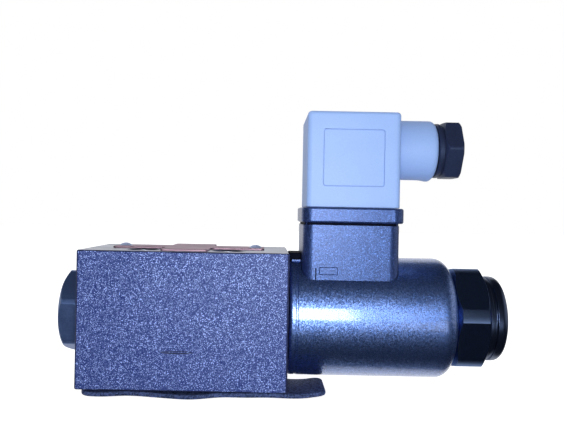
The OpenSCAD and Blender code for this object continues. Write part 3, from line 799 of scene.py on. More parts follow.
STEEL = Finish(
    "turned_steel", "machined_steel", (0.46, 0.47, 0.50), (0.66, 0.67, 0.70), (0.38, 0.28), Grain.TURNED,
    0.25, 0.004, metallic=1.0)
BRIGHT_STEEL = Finish(
    "bright_steel", "spring_steel", (0.44, 0.45, 0.48), (0.62, 0.63, 0.66), (0.34, 0.24), Grain.NOISE,
    0.3, 0.003, clouds=0.4, clouds_mm=4.0, metallic=1.0)
RIVET = Finish(
    "rivet_head", "spring_steel", (0.34, 0.42, 0.66), (0.50, 0.60, 0.86), (0.50, 0.40), Grain.NOISE,
    0.3, 0.004, metallic=0.3)
PLATE = Finish(
    "plate_face", "plate_metal", (0.40, 0.270, 0.345), (0.60, 0.430, 0.530), (0.62, 0.52), Grain.BRUSHED,
    0.3, 0.004, contrast=0.22, clouds=0.45, clouds_mm=8.0, metallic=1.0)
BLACK = Finish(
    "box_moulding", "black_moulding", (0.006, 0.011, 0.042), (0.052, 0.086, 0.260), (0.39, 0.32),
    Grain.SPECKLE, 0.20, 0.008, contrast=0.32, clouds=0.10, clouds_mm=10.0, specular=1.0,
    tint=(0.145, 0.30, 0.84), ior=1.88, tilt=0.20, sparks=0.22, coat=0.35, coat_rough=0.30)
# Painted shade: a near-black finish for the bridge, the undercut and the mould line of the box.
SHADE = Finish(
    "box_painted_shade", "black_moulding", (0.001, 0.002, 0.008), (0.003, 0.005, 0.018), (0.70, 0.65), specular=0.05)
NUT = Finish(
    "nut_moulding", "black_nut", (0.0008, 0.0012, 0.0028), (0.0022, 0.0032, 0.0072), (0.26, 0.22),
    Grain.NOISE, 0.5, 0.008, clouds=0.4, clouds_mm=8.0, specular=1.0, tint=(0.36, 0.54, 1.0), ior=2.4)
GLAND = Finish(
    "gland_moulding", "black_nut", (0.011, 0.016, 0.042), (0.024, 0.035, 0.088), (0.48, 0.40), Grain.NOISE,
    0.4, 0.012, clouds_mm=5.0, specular=0.6, tint=BLUE_GLOSS)
CAP = Finish(
    "cap_rubber", "black_cap", (0.0014, 0.0018, 0.0036), (0.0036, 0.0046, 0.0090), (0.32, 0.27), Grain.NOISE,
    0.5, 0.006, clouds=0.4, clouds_mm=6.0, specular=1.0, tint=(0.38, 0.54, 1.0), ior=1.8)
COVER = Finish(
    "cover_sheet", "cover_plastic", (0.014, 0.022, 0.055), (0.080, 0.112, 0.270), (0.50, 0.38), Grain.SPECKLE,
    0.4, 0.02, contrast=0.27, clouds_mm=8.0, specular=0.1, tint=BLUE_GLOSS)
GREY = Finish(
    "plug_moulding", "grey_moulding", (0.286, 0.446, 0.850), (0.330, 0.502, 0.905), (0.62, 0.52), Grain.NOISE,
    0.45, 0.010, contrast=0.24, clouds=0.35, specular=0.3, coat=0.15, coat_rough=0.3)
# Painted shade: a darker grey for the frame grooves round the plug's panels.
GREY_GROOVE_SHADE = Finish(
    "plug_groove_shade", "grey_moulding", (0.260, 0.400, 0.755), (0.300, 0.455, 0.830), (0.65, 0.60), Grain.NOISE,
    0.45, 0.010, specular=0.2)
RUBBER = Finish(
    "nitrile", "seal_rubber", (0.010, 0.010, 0.012), (0.022, 0.022, 0.025), (0.70, 0.55), Grain.NOISE,
    0.4, 0.01)
COPPER = Finish(
    "wound_copper", "copper_wire", (0.42, 0.17, 0.08), (0.68, 0.33, 0.17), (0.40, 0.28), Grain.TURNED,
    0.4, 0.02, metallic=1.0)
CONTACT = Finish(
    "tinned_brass", "contact_metal", (0.58, 0.50, 0.30), (0.78, 0.70, 0.46), (0.36, 0.26), Grain.BRUSHED,
    0.3, 0.004, metallic=1.0)
SLOT_FINISHES = (CASTING, PLUG_STEEL, ZINC, STEEL, BRIGHT_STEEL, PLATE, BLACK, NUT, CAP, COVER, GREY, RUBBER,
                 COPPER, CONTACT)
FRAME_FINISHES = {finish.slot: finish for finish in SLOT_FINISHES}


class SubAssembly(ABC):
    """Pieces that are built and dressed together."""

    @abstractmethod
    def build(self) -> list[Piece]:
        """Makes the pieces."""

    def dress(self, piece: Piece, finish: Finish, node: str, body: str = "valve") -> Piece:
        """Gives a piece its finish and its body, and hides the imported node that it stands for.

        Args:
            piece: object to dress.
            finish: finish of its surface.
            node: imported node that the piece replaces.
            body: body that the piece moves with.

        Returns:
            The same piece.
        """
        piece.data.materials.clear()
        piece.data.materials.append(finish.material())
        shade(piece)
        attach(piece, body)
        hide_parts(node)
        return piece

    def paint(self, piece: Piece, finish: Finish, where: Array) -> None:
        """Gives some faces of a dressed piece another finish.

        Args:
            piece: object that already has its main finish.
            finish: the other finish.
            where: one truth value for each face.
        """
        slots = np.zeros(len(piece.data.polygons), np.int32)
        piece.data.polygons.foreach_get("material_index", slots)
        slots[where] = len(piece.data.materials)
        piece.data.materials.append(finish.material())
        piece.data.polygons.foreach_set("material_index", slots)


@dataclass
class CastBody(SubAssembly):
    """The cast block: rough skin, ground top, screw holes, ports and spool bore. Sizes in millimetres."""

    edge_r: float = 0.8
    rim_r: float = 0.55
    edge_share: float = 0.93
    grid: float = 0.36
    grain: float = 0.014
    grain_blur: float = 0.3
    grain_seed: int = 11
    waves: float = 0.05
    waves_blur: float = 2.2
    waves_seed: int = 12
    fade: float = 1.2
    end_fade: Pair = (2.0, 0.2)
    scar_x: float = -1.3
    scar_z: float = 11.5
    scar_reach: float = 4.8
    scar_r: float = 0.45
    bore_r: float = 5.0
    plug_bore_r: float = 9.05
    plug_bore_x: float = -19.75
    tube_bore_r: float = 9.55
    tube_bore_x: float = 21.25
    seal_bore_r: float = 11.15
    seal_bore_w: float = 1.6
    screw_r: float = 2.75
    head_r: float = 5.0
    head_depth: float = 6.0
    sink: float = 0.4
    sink_past: float = 0.1
    port_r: float = 2.25
    recess_r: float = 4.0
    recess_depth: float = 1.4

    def block(self) -> Array:
        """The skin of the block: its outline carried upwards and moved along its normals.

        The move is fine noise plus broad noise, which fade towards the edges.

        Returns:
            Rings of the block, with no holes.
        """
        low, high = span("valve_body")
        outline = dense(rectangle(high[0] - low[0], high[1] - low[1], self.edge_r), self.grid)
        heights = edge_levels(low[2], high[2], self.rim_r, self.grid)
        shape = (len(heights), len(outline))
        rise = self.grain * soft_noise(shape, self.grid, self.grain_blur, self.grain_seed)
        rise += self.waves * soft_noise(shape, self.grid, self.waves_blur, self.waves_seed)
        fade = smooth_step(heights - low[2], 0.0, self.fade) * smooth_step(high[2] - heights, 0.0, self.fade)
        start, end = high[0] - np.array(self.end_fade)
        sides = 1.0 - smooth_step(np.abs(outline[:, 0]), start, end)
        inset = edge_inset(heights, self.rim_r)[:, None] - rise * fade[:, None] * sides[None, :]
        return column(outline, heights, inset)

    def scar(self) -> Array:
        """A thin spindle on the front that leaves a scar in the skin.

        Its radius is r * sqrt(1 - u^2), with u from -1 to 1 along it.

        Returns:
            Rings of the spindle.
        """
        u = np.sin(np.linspace(-math.pi / 2.0, math.pi / 2.0, 40))
        radii = self.scar_r * np.sqrt(np.maximum(1.0 - u**2, 0.0))
        origin = (self.scar_x, span("valve_body")[0][1], self.scar_z)
        return turn(u * self.scar_reach, radii, ring_angles(24), origin)

    def bores(self) -> list[Array]:
        """Rings of every hole: the stepped spool bore, four screw holes and four ports.

        Returns:
            One array of rings for each hole.
        """
        low, high = span("valve_body")
        seal_x, seat = high[0] - self.seal_bore_w, high[2] - self.head_depth
        spool = [
            (low[0] - PAST, self.plug_bore_r), (self.plug_bore_x, self.plug_bore_r),
            (self.plug_bore_x, self.bore_r), (self.tube_bore_x, self.bore_r),
            (self.tube_bore_x, self.tube_bore_r), (seal_x, self.tube_bore_r),
            (seal_x, self.seal_bore_r), (high[0] + PAST, self.seal_bore_r),
        ]
        screw = [
            (low[2] - PAST, self.screw_r), (seat, self.screw_r), (seat, self.head_r),
            (high[2] - self.sink, self.head_r),
            (high[2] + self.sink_past, self.head_r + self.sink + self.sink_past),
        ]
        port = [
            (low[2] - PAST, self.recess_r), (self.recess_depth, self.recess_r),
            (self.recess_depth, self.port_r), (LAYOUT.axis_z, self.port_r),
        ]
        holes = [lathe(np.array(spool), count=128)]
        holes += [post(place, screw) for place in LAYOUT.screws()]
        return holes + [post(place, port) for place in LAYOUT.ports()]

    def build(self) -> list[Piece]:
        """Makes the drilled block, cast outside and ground on top, below and in its bores, with painted shade
        on its rounded edges and in the scar.

        Returns:
            The block.
        """
        body = skin("cast_body", self.block())
        carve(body, self.scar(), Ends.POLES)
        for rings in self.bores():
            carve(body, rings)
        self.dress(body, CASTING, "valve_body")
        high = span("valve_body")[1]
        centres, normals = face_data(body)
        reach = np.maximum(np.abs(centres[:, 0]) - high[0], np.abs(centres[:, 1]) - high[1])
        # Painted shade: faces that lean away from every axis, on the rounded edges and in the scar, take the
        # dark edge finish.
        self.paint(body, CASTING_EDGE_SHADE, np.abs(normals).max(1) < self.edge_share)
        self.paint(body, GROUND, (reach < -self.edge_r) | (np.abs(normals[:, 2]) > FLAT))
        return [body]


@dataclass
class EndPlug(SubAssembly):
    """The hex screw plug at the spring end and the wound spring inside it. Sizes in millimetres."""

    across: float = 23.5
    corner: float = 160.0
    corner_cut: float = 0.4
    chamfer: float = 1.2
    chamfer_r: float = 1.8
    head: float = 6.7
    thread_r: float = 9.0
    pocket_r: float = 5.7
    end_t: float = 2.6
    wire_r: float = 0.45
    mean_r: float = 4.2
    turns: int = 6
    turn_steps: int = 28
    travel: float = 3.0

    def plug(self) -> Piece:
        """The plug: a turned profile trimmed by a hexagon over the head.

        Returns:
            The plug.
        """
        low, high = span("end_plug")
        x, face = low[0], low[0] + self.head
        outer = self.across / 2.0 / math.cos(math.radians(30.0)) - self.corner_cut
        profile = traced([
            (x, 0.0, 2), (x, outer - self.chamfer_r, 14), (x + self.chamfer, outer, 6),
            (face - self.chamfer, outer, 14), (face, outer - self.chamfer, 2), (face, self.thread_r, 4),
            (high[0], self.thread_r, 2), (high[0], self.pocket_r, 4), (x + self.end_t, self.pocket_r, 2),
            (x + self.end_t, 0.0, 1),
        ])
        return skin("hex_plug", hex_lathe(profile, self.across, self.corner, (x, face)), Ends.POLES)

    def spring(self) -> Piece:
        """The spring: a circle of wire carried along a helix, x rising evenly with the angle.

        Returns:
            The spring.
        """
        low, high = span("return_spring")
        angle = np.linspace(0.0, 2.0 * math.pi * self.turns, self.turns * self.turn_steps + 1)
        middle = np.linspace(low[0] + self.wire_r, high[0] - self.wire_r, len(angle))
        round_wire = ring_angles(12)
        radius = self.mean_r + self.wire_r * np.cos(round_wire)[None, :]
        x = middle[:, None] + self.wire_r * np.sin(round_wire)[None, :]
        y = radius * np.cos(angle)[:, None]
        z = radius * np.sin(angle)[:, None] + LAYOUT.axis_z
        return skin("wound_spring", np.stack([x, y, z], -1))

    def build(self) -> list[Piece]:
        """Makes the plug and its spring.

        Returns:
            The plug and the spring.
        """
        plug = self.dress(self.plug(), PLUG_STEEL, "end_plug")
        spring = self.dress(self.spring(), BRIGHT_STEEL, "return_spring")
        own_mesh(spring)
        return [plug, spring]


@dataclass
class CoilJacket(SubAssembly):
    """The plated steel jacket of the coil, with its lip groove and the opening for the moulded box."""

    wall: float = 1.9
    end_t: float = 2.5
    bore_r: float = 9.7
    bore_edge_r: float = 0.5
    rim_r: float = 0.3
    lip_r: float = 1.0
    shoulder_r: float = 4.5
    groove_x: float = 1.9
    groove_w: float = 0.7
    groove_depth: float = 0.15
    groove_slope: float = 0.15
    groove_edge_r: float = 0.1
    slot_edge_r: float = 0.05
    gap: float = 0.12
    opening_past: float = 2.0

    def tube(self) -> Array:
        """The jacket's section turned about the coil's axis.

        Returns:
            Rings of the jacket, with no openings.
        """
        low, high = span("coil_shell")
        x0, x1, r = low[0], high[0], high[1]
        inner, floor_x = r - self.wall, x1 - self.end_t
        groove = ring_groove(x0 + self.groove_x, self.groove_w, r, self.groove_depth, self.groove_slope)
        section = [(x0, inner), (x0, r), *groove, (x1, r), (x1, self.bore_r), (floor_x, self.bore_r),
                   (floor_x, inner)]
        groove_radii = [self.groove_edge_r] * len(groove)
        radii = [self.rim_r, self.lip_r, *groove_radii, self.shoulder_r, self.bore_edge_r, self.rim_r,
                 self.shoulder_r - self.wall]
        return lathe(dense(rounded(section, radii, steps=9), step=1.5), count=300)

    def build(self) -> list[Piece]:
        """Makes the jacket and cuts the opening and the slot that leads to it.

        Returns:
            The jacket.
        """
        jacket = skin("coil_jacket", self.tube(), Ends.LOOP)
        low, high = span("coil_shell")
        length = LAYOUT.box_x - low[0] + PAST
        width = LAYOUT.bridge_w + 2 * self.gap
        slot = rectangle(length, width, self.slot_edge_r, (LAYOUT.box_x - length / 2.0, 0.0))
        for outline in (LAYOUT.box(self.gap), slot):
            carve(jacket, prism(outline, LAYOUT.axis_z, high[2] + self.opening_past))
        return [self.dress(jacket, ZINC, "coil_shell")]


@dataclass
class TerminalBox(SubAssembly):
    """The moulded box on the coil: column, flange, bridge, ledge, small raised pad and mould line."""

    foot_z: float = 27.0
    flange_w: float = 31.1
    flange_d: float = 30.0
    flange_t: float = 4.6
    flange_round: float = 0.6
    overlap: float = 0.5
    bridge_top: float = 40.5
    bridge_round: float = 0.3
    block_step: float = 2.0
    front_step: float = 0.5
    ledge_x: float = 33.75
    ledge_z: float = 38.15
    ledge_l: float = 2.9
    ledge_h: float = 0.7
    ledge_d: float = 0.6
    ledge_round: float = 0.15
    saddle_r: float = 16.7
    saddle_past: float = 9.0
    washer_r: float = 17.0
    washer_x: float = 35.95
    recess_depth: float = 1.4
    hole_r: float = 1.8
    hole_depth: float = 9.0
    pad_x: float = 43.15
    pad_z: float = 35.6
    pad_w: float = 5.7
    pad_h: float = 2.4
    pad_rise: float = 0.3
    pad_round: float = 0.3
    line_x: float = 39.4
    line_top: float = 36.4
    line_w: float = 0.34
    line_depth: float = 0.5
    line_round: float = 0.1
    undercut_h: float = 0.75
    undercut_depth: float = 0.4

    def front_slab(self, middle: Pair, size: Pair, y: Pair, radius: float) -> Array:
        """A small block on the front: an outline in X and Z carried along Y.

        Args:
            middle: middle of the block along X and Z.
            size: size along X and Z.
            y: front and back of the block.
            radius: radius of its corners and front edge.

        Returns:
            Rings of the block.
        """
        return sideways(slab(rectangle(*size, radius, middle), *y, radius, self.front_step, top=False))

    def join(self, box: Piece) -> None:
        """Joins the flange, the bridge, the ledge and the pad to the box.

        Args:
            box: object that is changed.
        """
        low, high = span("terminal_housing")
        front, side = -LAYOUT.box_d / 2.0, -LAYOUT.bridge_w / 2.0
        flange = rectangle(self.flange_w, self.flange_d, LAYOUT.box_edge_r, (LAYOUT.plug_x, 0.0))
        length = LAYOUT.box_x - low[0]
        bridge = rectangle(length, LAYOUT.bridge_w, self.bridge_round, (low[0] + length / 2.0, 0.0))
        for rings in (
            slab(flange, high[2] - self.flange_t, high[2], self.flange_round, self.block_step),
            slab(bridge, self.foot_z, self.bridge_top, self.bridge_round, self.block_step),
            self.front_slab((self.ledge_x, self.ledge_z), (self.ledge_l, self.ledge_h),
                            (side - self.ledge_d, side + PAST), self.ledge_round),
            self.front_slab((self.pad_x, self.pad_z), (self.pad_w, self.pad_h),
                            (front - self.pad_rise, front + PAST), self.pad_round),
        ):
            carve(box, rings, cut=Cut.ON)

    def cut(self, box: Piece) -> None:
        """Cuts the mould line, the undercut, the saddle over the coil, the recess and the screw hole.

        Args:
            box: object that is changed.
        """
        low, high = span("terminal_housing")
        top, front = high[2], -LAYOUT.box_d / 2.0
        flange_z = top - self.flange_t
        line_h = self.line_top - self.foot_z
        line = (front - PAST, front + self.line_depth)
        middle = (self.line_x, self.line_top - line_h / 2.0)
        carve(box, self.front_slab(middle, (self.line_w, line_h), line, self.line_round))
        undercut = hoop(LAYOUT.box(PAST), flange_z - self.undercut_h, flange_z, PAST + self.undercut_depth)
        carve(box, undercut, Ends.LOOP)
        saddle = [(low[0] - PAST, self.washer_r), (self.washer_x, self.washer_r),
                  (self.washer_x, self.saddle_r), (high[0] + self.saddle_past, self.saddle_r)]
        carve(box, lathe(np.array(saddle)))
        carve(box, prism(LAYOUT.seat(), top - self.recess_depth, top + PAST))
        hole = [(top - self.hole_depth, self.hole_r), (top, self.hole_r)]
        carve(box, post((LAYOUT.plug_x, 0.0), hole, count=48))

    def hollows(self, box: Piece) -> Array:
        """Finds the faces that get painted shade: sides of the bridge, undercut and mould line.

        Args:
            box: the finished box.

        Returns:
            One truth value for each face.
        """
        centres, normals = face_data(box)
        x, y, z = centres.T
        front, side = -LAYOUT.box_d / 2.0, -LAYOUT.bridge_w / 2.0
        flange_z = span("terminal_housing")[1][2] - self.flange_t
        bridge = (x < LAYOUT.box_x - LAYOUT.box_w / 2.0 - NEAR) & (z < flange_z) & (y > side - NEAR)
        undercut = (z > flange_z - self.undercut_h - NEAR / 2.0) & (z < flange_z + NEAR / 2.0)
        undercut &= np.abs(normals[:, 2]) < FLAT
        line = (y > front + NEAR) & (y < front + self.line_depth + NEAR)
        line &= np.abs(x - self.line_x) < self.line_w / 2.0 + NEAR
        return bridge | undercut | line

    def build(self) -> list[Piece]:
        """Makes the box: its column, the blocks joined on, the hollows cut away, and painted shade on them.

        Returns:
            The box.
        """
        flange_z = span("terminal_housing")[1][2] - self.flange_t
        box = skin("terminal_box", prism(LAYOUT.box(), self.foot_z, flange_z + self.overlap))
        self.join(box)
        self.cut(box)
        self.dress(box, BLACK, "terminal_housing")
        # Painted shade on the bridge, the undercut and the mould line.
        self.paint(box, SHADE, self.hollows(box))
        return [box]


@dataclass
class CablePlug(SubAssembly):
    """The square cable plug: case with panels and gland neck, and the gland nut. Sizes in millimetres."""

    width: float = 28.3
    edge_r: float = 1.6
    top_r: float = 1.1
    foot_r: float = 0.3
    panel_x: float = 50.3
    panel_w: float = 18.6
    panel_h: float = 17.4
    panel_rise: float = 0.45
    panel_depth: float = 0.2
    panel_edge_r: float = 0.9
    frame_w: float = 0.3
    frame_depth: float = 0.5
    cavity_top: float = 70.9
    screw_r: float = 1.7
    head_r: float = 3.0
    head_depth: float = 2.5
    gland_z: float = 73.8
    neck_r: float = 9.5
    neck_edge_r: float = 1.8
    neck_bore_r: float = 7.0
    neck_bore_in: float = 4.0
    bulge: float = 0.4
    bulge_x: float = 75.3
    bulge_l: float = 1.4
    bulge_angle: float = 0.45
    nut_across: float = 17.4
    nut_corner: float = 180.0
    nut_round_r: float = 9.85
    nut_chamfer: float = 0.6
    nut_hex_x: float = 79.45
    collar_in: float = 1.9
    collar_w: float = 1.1
    collar_r: float = 8.7
    collar_chamfer: float = 0.3
    groove_r: float = 8.05
    groove_lean: float = 0.2
    hex_foot: float = 0.1
    hex_rise: float = 0.9
    thread_r: float = 6.95
    cable_r: float = 4.25
    mouth: float = 0.9

    def panel_middle(self) -> Place:
        """Middle of the panels."""
        low, high = span("connector_housing")
        return self.panel_x, 0.0, (low[2] + high[2]) / 2.0 + self.panel_rise

    def neck(self) -> Array:
        """The neck: a turned profile whose radius swells by a Gaussian bulge at its foot, below the axis.

        Returns:
            Rings of the neck.
        """
        x0 = LAYOUT.plug_x + self.width / 2.0 - PAST
        x1 = span("connector_housing")[1][0]
        corners = [(x0, 0.0), (x0, self.neck_r), (x1, self.neck_r), (x1, 0.0)]
        path = rounded(corners, [0.0, 0.0, self.neck_edge_r, 0.0], steps=10, closed=False)
        profile = dense(path, step=0.6, closed=False)
        angles = ring_angles(192)
        u = (profile[:, :1] - self.bulge_x) / self.bulge_l
        v = np.angle(np.exp(1j * (angles[None, :] - 1.5 * math.pi))) / self.bulge_angle
        radii = profile[:, 1:] * (1.0 + self.bulge / self.neck_r * np.exp(-u**2 - v**2))
        return turn(profile[:, 0], radii, angles, (0.0, 0.0, self.gland_z))

    def block(self) -> Array:
        """The case's block: its outline carried upwards, with a round top edge and a slightly round foot.

        Returns:
            Rings of the block.
        """
        low, high = span("connector_housing")
        outline = rectangle(self.width, high[1] - low[1], self.edge_r, (LAYOUT.plug_x, 0.0))
        foot = low[2] + np.linspace(0, self.foot_r, 5)
        heights = np.unique(np.concatenate([edge_levels(low[2], high[2], self.top_r, step=3.0), foot]))
        inset = edge_inset(heights, self.top_r, bottom=False) + edge_inset(heights, self.foot_r, top=False)
        return column(outline, heights, inset)

    def case(self) -> Piece:
        """The case: the block with the neck joined on, then panels, cavity and bores cut away.

        Returns:
            The case.
        """
        case = skin("plug_case", self.block())
        carve(case, self.neck(), Ends.POLES, Cut.ON)
        low, high = span("connector_housing")
        x, _, z = self.panel_middle()
        panel = rectangle(self.panel_w, self.panel_h, self.panel_edge_r, (x, z))
        half = (high[1] - low[1]) / 2.0
        for side in (-1.0, 1.0):
            outside = side * (half + PAST)
            carve(case, sideways(prism(panel, side * (half - self.panel_depth), outside)))
            frame_rings = hoop(panel, side * (half - self.frame_depth), outside, self.frame_w)
            carve(case, sideways(frame_rings), Ends.LOOP)
        carve(case, prism(LAYOUT.seat(), low[2] - PAST, self.cavity_top))
        seat = high[2] - self.head_depth
        screw = [(self.cavity_top - PAST, self.screw_r), (seat, self.screw_r), (seat, self.head_r),
                 (high[2] + PAST, self.head_r)]
        carve(case, post((LAYOUT.plug_x, 0.0), screw, count=64))
        bore_x = LAYOUT.plug_x + self.width / 2.0 - self.neck_bore_in
        bore = [(bore_x, self.neck_bore_r), (high[0] + PAST, self.neck_bore_r)]
        carve(case, lathe(np.array(bore), count=96, height=self.gland_z))
        return case

    def gland(self) -> Piece:
        """The gland nut: a turned profile trimmed by a hexagon past its collar.

        Returns:
            The gland nut.
        """
        low, high = span("gland_nut")
        x0, x1, hex_x = low[0], high[0], self.nut_hex_x
        collar_x, collar, bevel = hex_x - self.collar_in, self.collar_r, self.collar_chamfer
        collar_end, top, groove = collar_x + self.collar_w, self.nut_round_r, self.groove_r
        profile = traced([
            (x0, self.cable_r, 2), (x0, self.thread_r, 3), (collar_x, self.thread_r, 2),
            (collar_x, collar - bevel, 3), (collar_x + bevel, collar, 2), (collar_end, collar, 3),
            (collar_end + self.groove_lean, groove, 2), (hex_x - self.hex_foot, groove, 3),
            (hex_x, groove + bevel, 12), (hex_x + self.hex_rise, top, 6), (x1 - self.nut_chamfer, top, 8),
            (x1, top - self.nut_chamfer, 8), (x1, self.cable_r + self.mouth, 3),
            (x1 - self.mouth, self.cable_r, 4),
        ], True)
        hexed = (hex_x - self.hex_foot / 2.0, x1)
        rings = hex_lathe(profile, self.nut_across, self.nut_corner, hexed, self.gland_z)
        return skin("gland_cap", rings, Ends.LOOP)

    def build(self) -> list[Piece]:
        """Makes the case, with painted shade in the grooves round its panels, and the gland nut, which move
        with the plug.

        Returns:
            The case and the gland nut.
        """
        case = self.dress(self.case(), GREY, "connector_housing", "plug")
        x, y, z = np.abs(face_data(case)[0] - np.array(self.panel_middle())).T
        sunk = span("connector_housing")[1][1] - y
        groove = (sunk > self.panel_depth + NEAR) & (sunk < self.frame_depth + 2.5 * NEAR)
        groove &= (x < self.panel_w / 2.0 + 5.0 * NEAR) & (z < self.panel_h / 2.0 + 5.0 * NEAR)
        # Painted shade: the frame grooves round the panels take a darker grey.
        self.paint(case, GREY_GROOVE_SHADE, groove)
        return [case, self.dress(self.gland(), GLAND, "gland_nut", "plug")]


@dataclass
class CoilEnd(SubAssembly):
    """The nut that holds the coil, the ringed cap on it and the override button. Sizes in millimetres."""

    across: float = 30.3
    corner: float = 170.0
    round_r: float = 16.4
    chamfer: float = 1.0
    chamfer_in: float = 0.6
    length: float = 10.05
    stub_r: float = 6.05
    seal_in_r: float = 10.3
    seal_out_r: float = 11.9
    seal_depth: float = 1.5
    nose_r: float = 10.4
    nose_gap: float = 0.05
    cap_r: float = 13.4
    cap_edge_r: float = 2.2
    cap_floor_x: float = 3.1
    groove_x: float = 1.5
    groove_w: float = 1.1
    groove_depth: float = 0.6
    groove_slope: float = 0.1
    button_hole_r: float = 4.3
    button_r: float = 4.0
    button_pin_r: float = 2.5
    button_t: float = 4.1
    dish_edge: float = 1.2
    dish: float = 0.3

    def nut(self) -> Piece:
        """The nut: a turned profile trimmed by a hexagon, with a seal groove and a nose for the cap.

        Returns:
            The nut.
        """
        low, high = span("coil_nut")
        x0, x1 = low[0], low[0] + self.length
        r, face_r, seal_x = self.round_r, self.round_r - self.chamfer - self.chamfer_in, x0 + self.seal_depth
        profile = traced([
            (x0, self.stub_r, 2), (x0, self.seal_in_r, 2), (seal_x, self.seal_in_r, 2),
            (seal_x, self.seal_out_r, 2), (x0, self.seal_out_r, 3), (x0, face_r, 14),
            (x0 + self.chamfer, r, 8), (x1 - self.chamfer, r, 14), (x1, face_r, 3), (x1, self.nose_r, 3),
            (high[0], self.nose_r, 2), (high[0], self.stub_r, 4),
        ], True)
        return skin("ring_nut", hex_lathe(profile, self.across, self.corner, (x0, x1)), Ends.LOOP)

    def cap(self) -> Piece:
        """The cap: a section with a ring groove and a round shoulder, turned about the axis.

        Returns:
            The cap.
        """
        low, high = span("end_cap")
        x0, x1, r, inner = low[0], high[0], self.cap_r, self.nose_r + self.nose_gap
        floor_x = x0 + self.cap_floor_x
        section = [
            (x0, inner), (x0, r),
            *ring_groove(x0 + self.groove_x, self.groove_w, r, self.groove_depth, self.groove_slope), (x1, r),
            (x1, self.button_hole_r), (floor_x, self.button_hole_r), (floor_x, inner),
        ]
        radii = [0.1, 0.3, 0.25, 0.2, 0.2, 0.25, self.cap_edge_r, 0.4, 0.1, 0.1]
        return skin("ringed_cap", lathe(rounded(section, radii, steps=7)), Ends.LOOP)

    def button(self) -> Piece:
        """The button: a pin and a disc with a round rim and a shallow dish, turned about the axis.

        Returns:
            The button.
        """
        low, high = span("override_button")
        x0, x1, r, pin_r = low[0], high[0], self.button_r, self.button_pin_r
        back = x1 - self.button_t
        corners = [(x0, 0.0), (x0, pin_r), (back, pin_r), (back, r), (x1, r), (x1, r - self.dish_edge),
                   (x1 - self.dish, 0.0)]
        profile = rounded(corners, [0.0, 0.2, 0.2, 0.2, 0.5, 0.6, 0.0], steps=6, closed=False)
        return skin("push_button", lathe(profile, count=96), Ends.POLES)

    def build(self) -> list[Piece]:
        """Makes the nut, its cap and the button, which moves by itself.

        Returns:
            The nut, the cap and the button.
        """
        nut = self.dress(self.nut(), NUT, "coil_nut")
        cap = self.dress(self.cap(), CAP, "end_cap")
        return [nut, cap, self.dress(self.button(), CAP, "override_button", "override")]


@dataclass
class TopPlate(SubAssembly):
    """The bare plate on top of the body, a cross with round corners. Sizes in millimetres."""

    arm_w: float = 12.6
    lobe_l: float = 14.0
    corner_r: float = 1.0
    fillet_r: float = 1.5
    edge_r: float = 0.18

    def build(self) -> list[Piece]:
        """Makes the plate: the cross outline, mirrored from one quarter, carried up with round edges.

        Returns:
            The plate.
        """
        low, high = span("nameplate")
        arm, lobe = self.arm_w / 2.0, self.lobe_l / 2.0
        quarter = [(high[0], arm, self.corner_r), (lobe, arm, self.fillet_r), (lobe, high[1], self.corner_r)]
        corners = [
            (side_x * x, side_y * y, radius)
            for side_x, side_y in ((1, 1), (-1, 1), (-1, -1), (1, -1))
            for x, y, radius in quarter[:: side_x * side_y]
        ]
        outline = rounded([(x, y) for x, y, _ in corners], [radius for _, _, radius in corners])
        plate = skin("top_plate", slab(outline, low[2], high[2], self.edge_r, step=0.3))
        return [self.dress(plate, PLATE, "nameplate")]


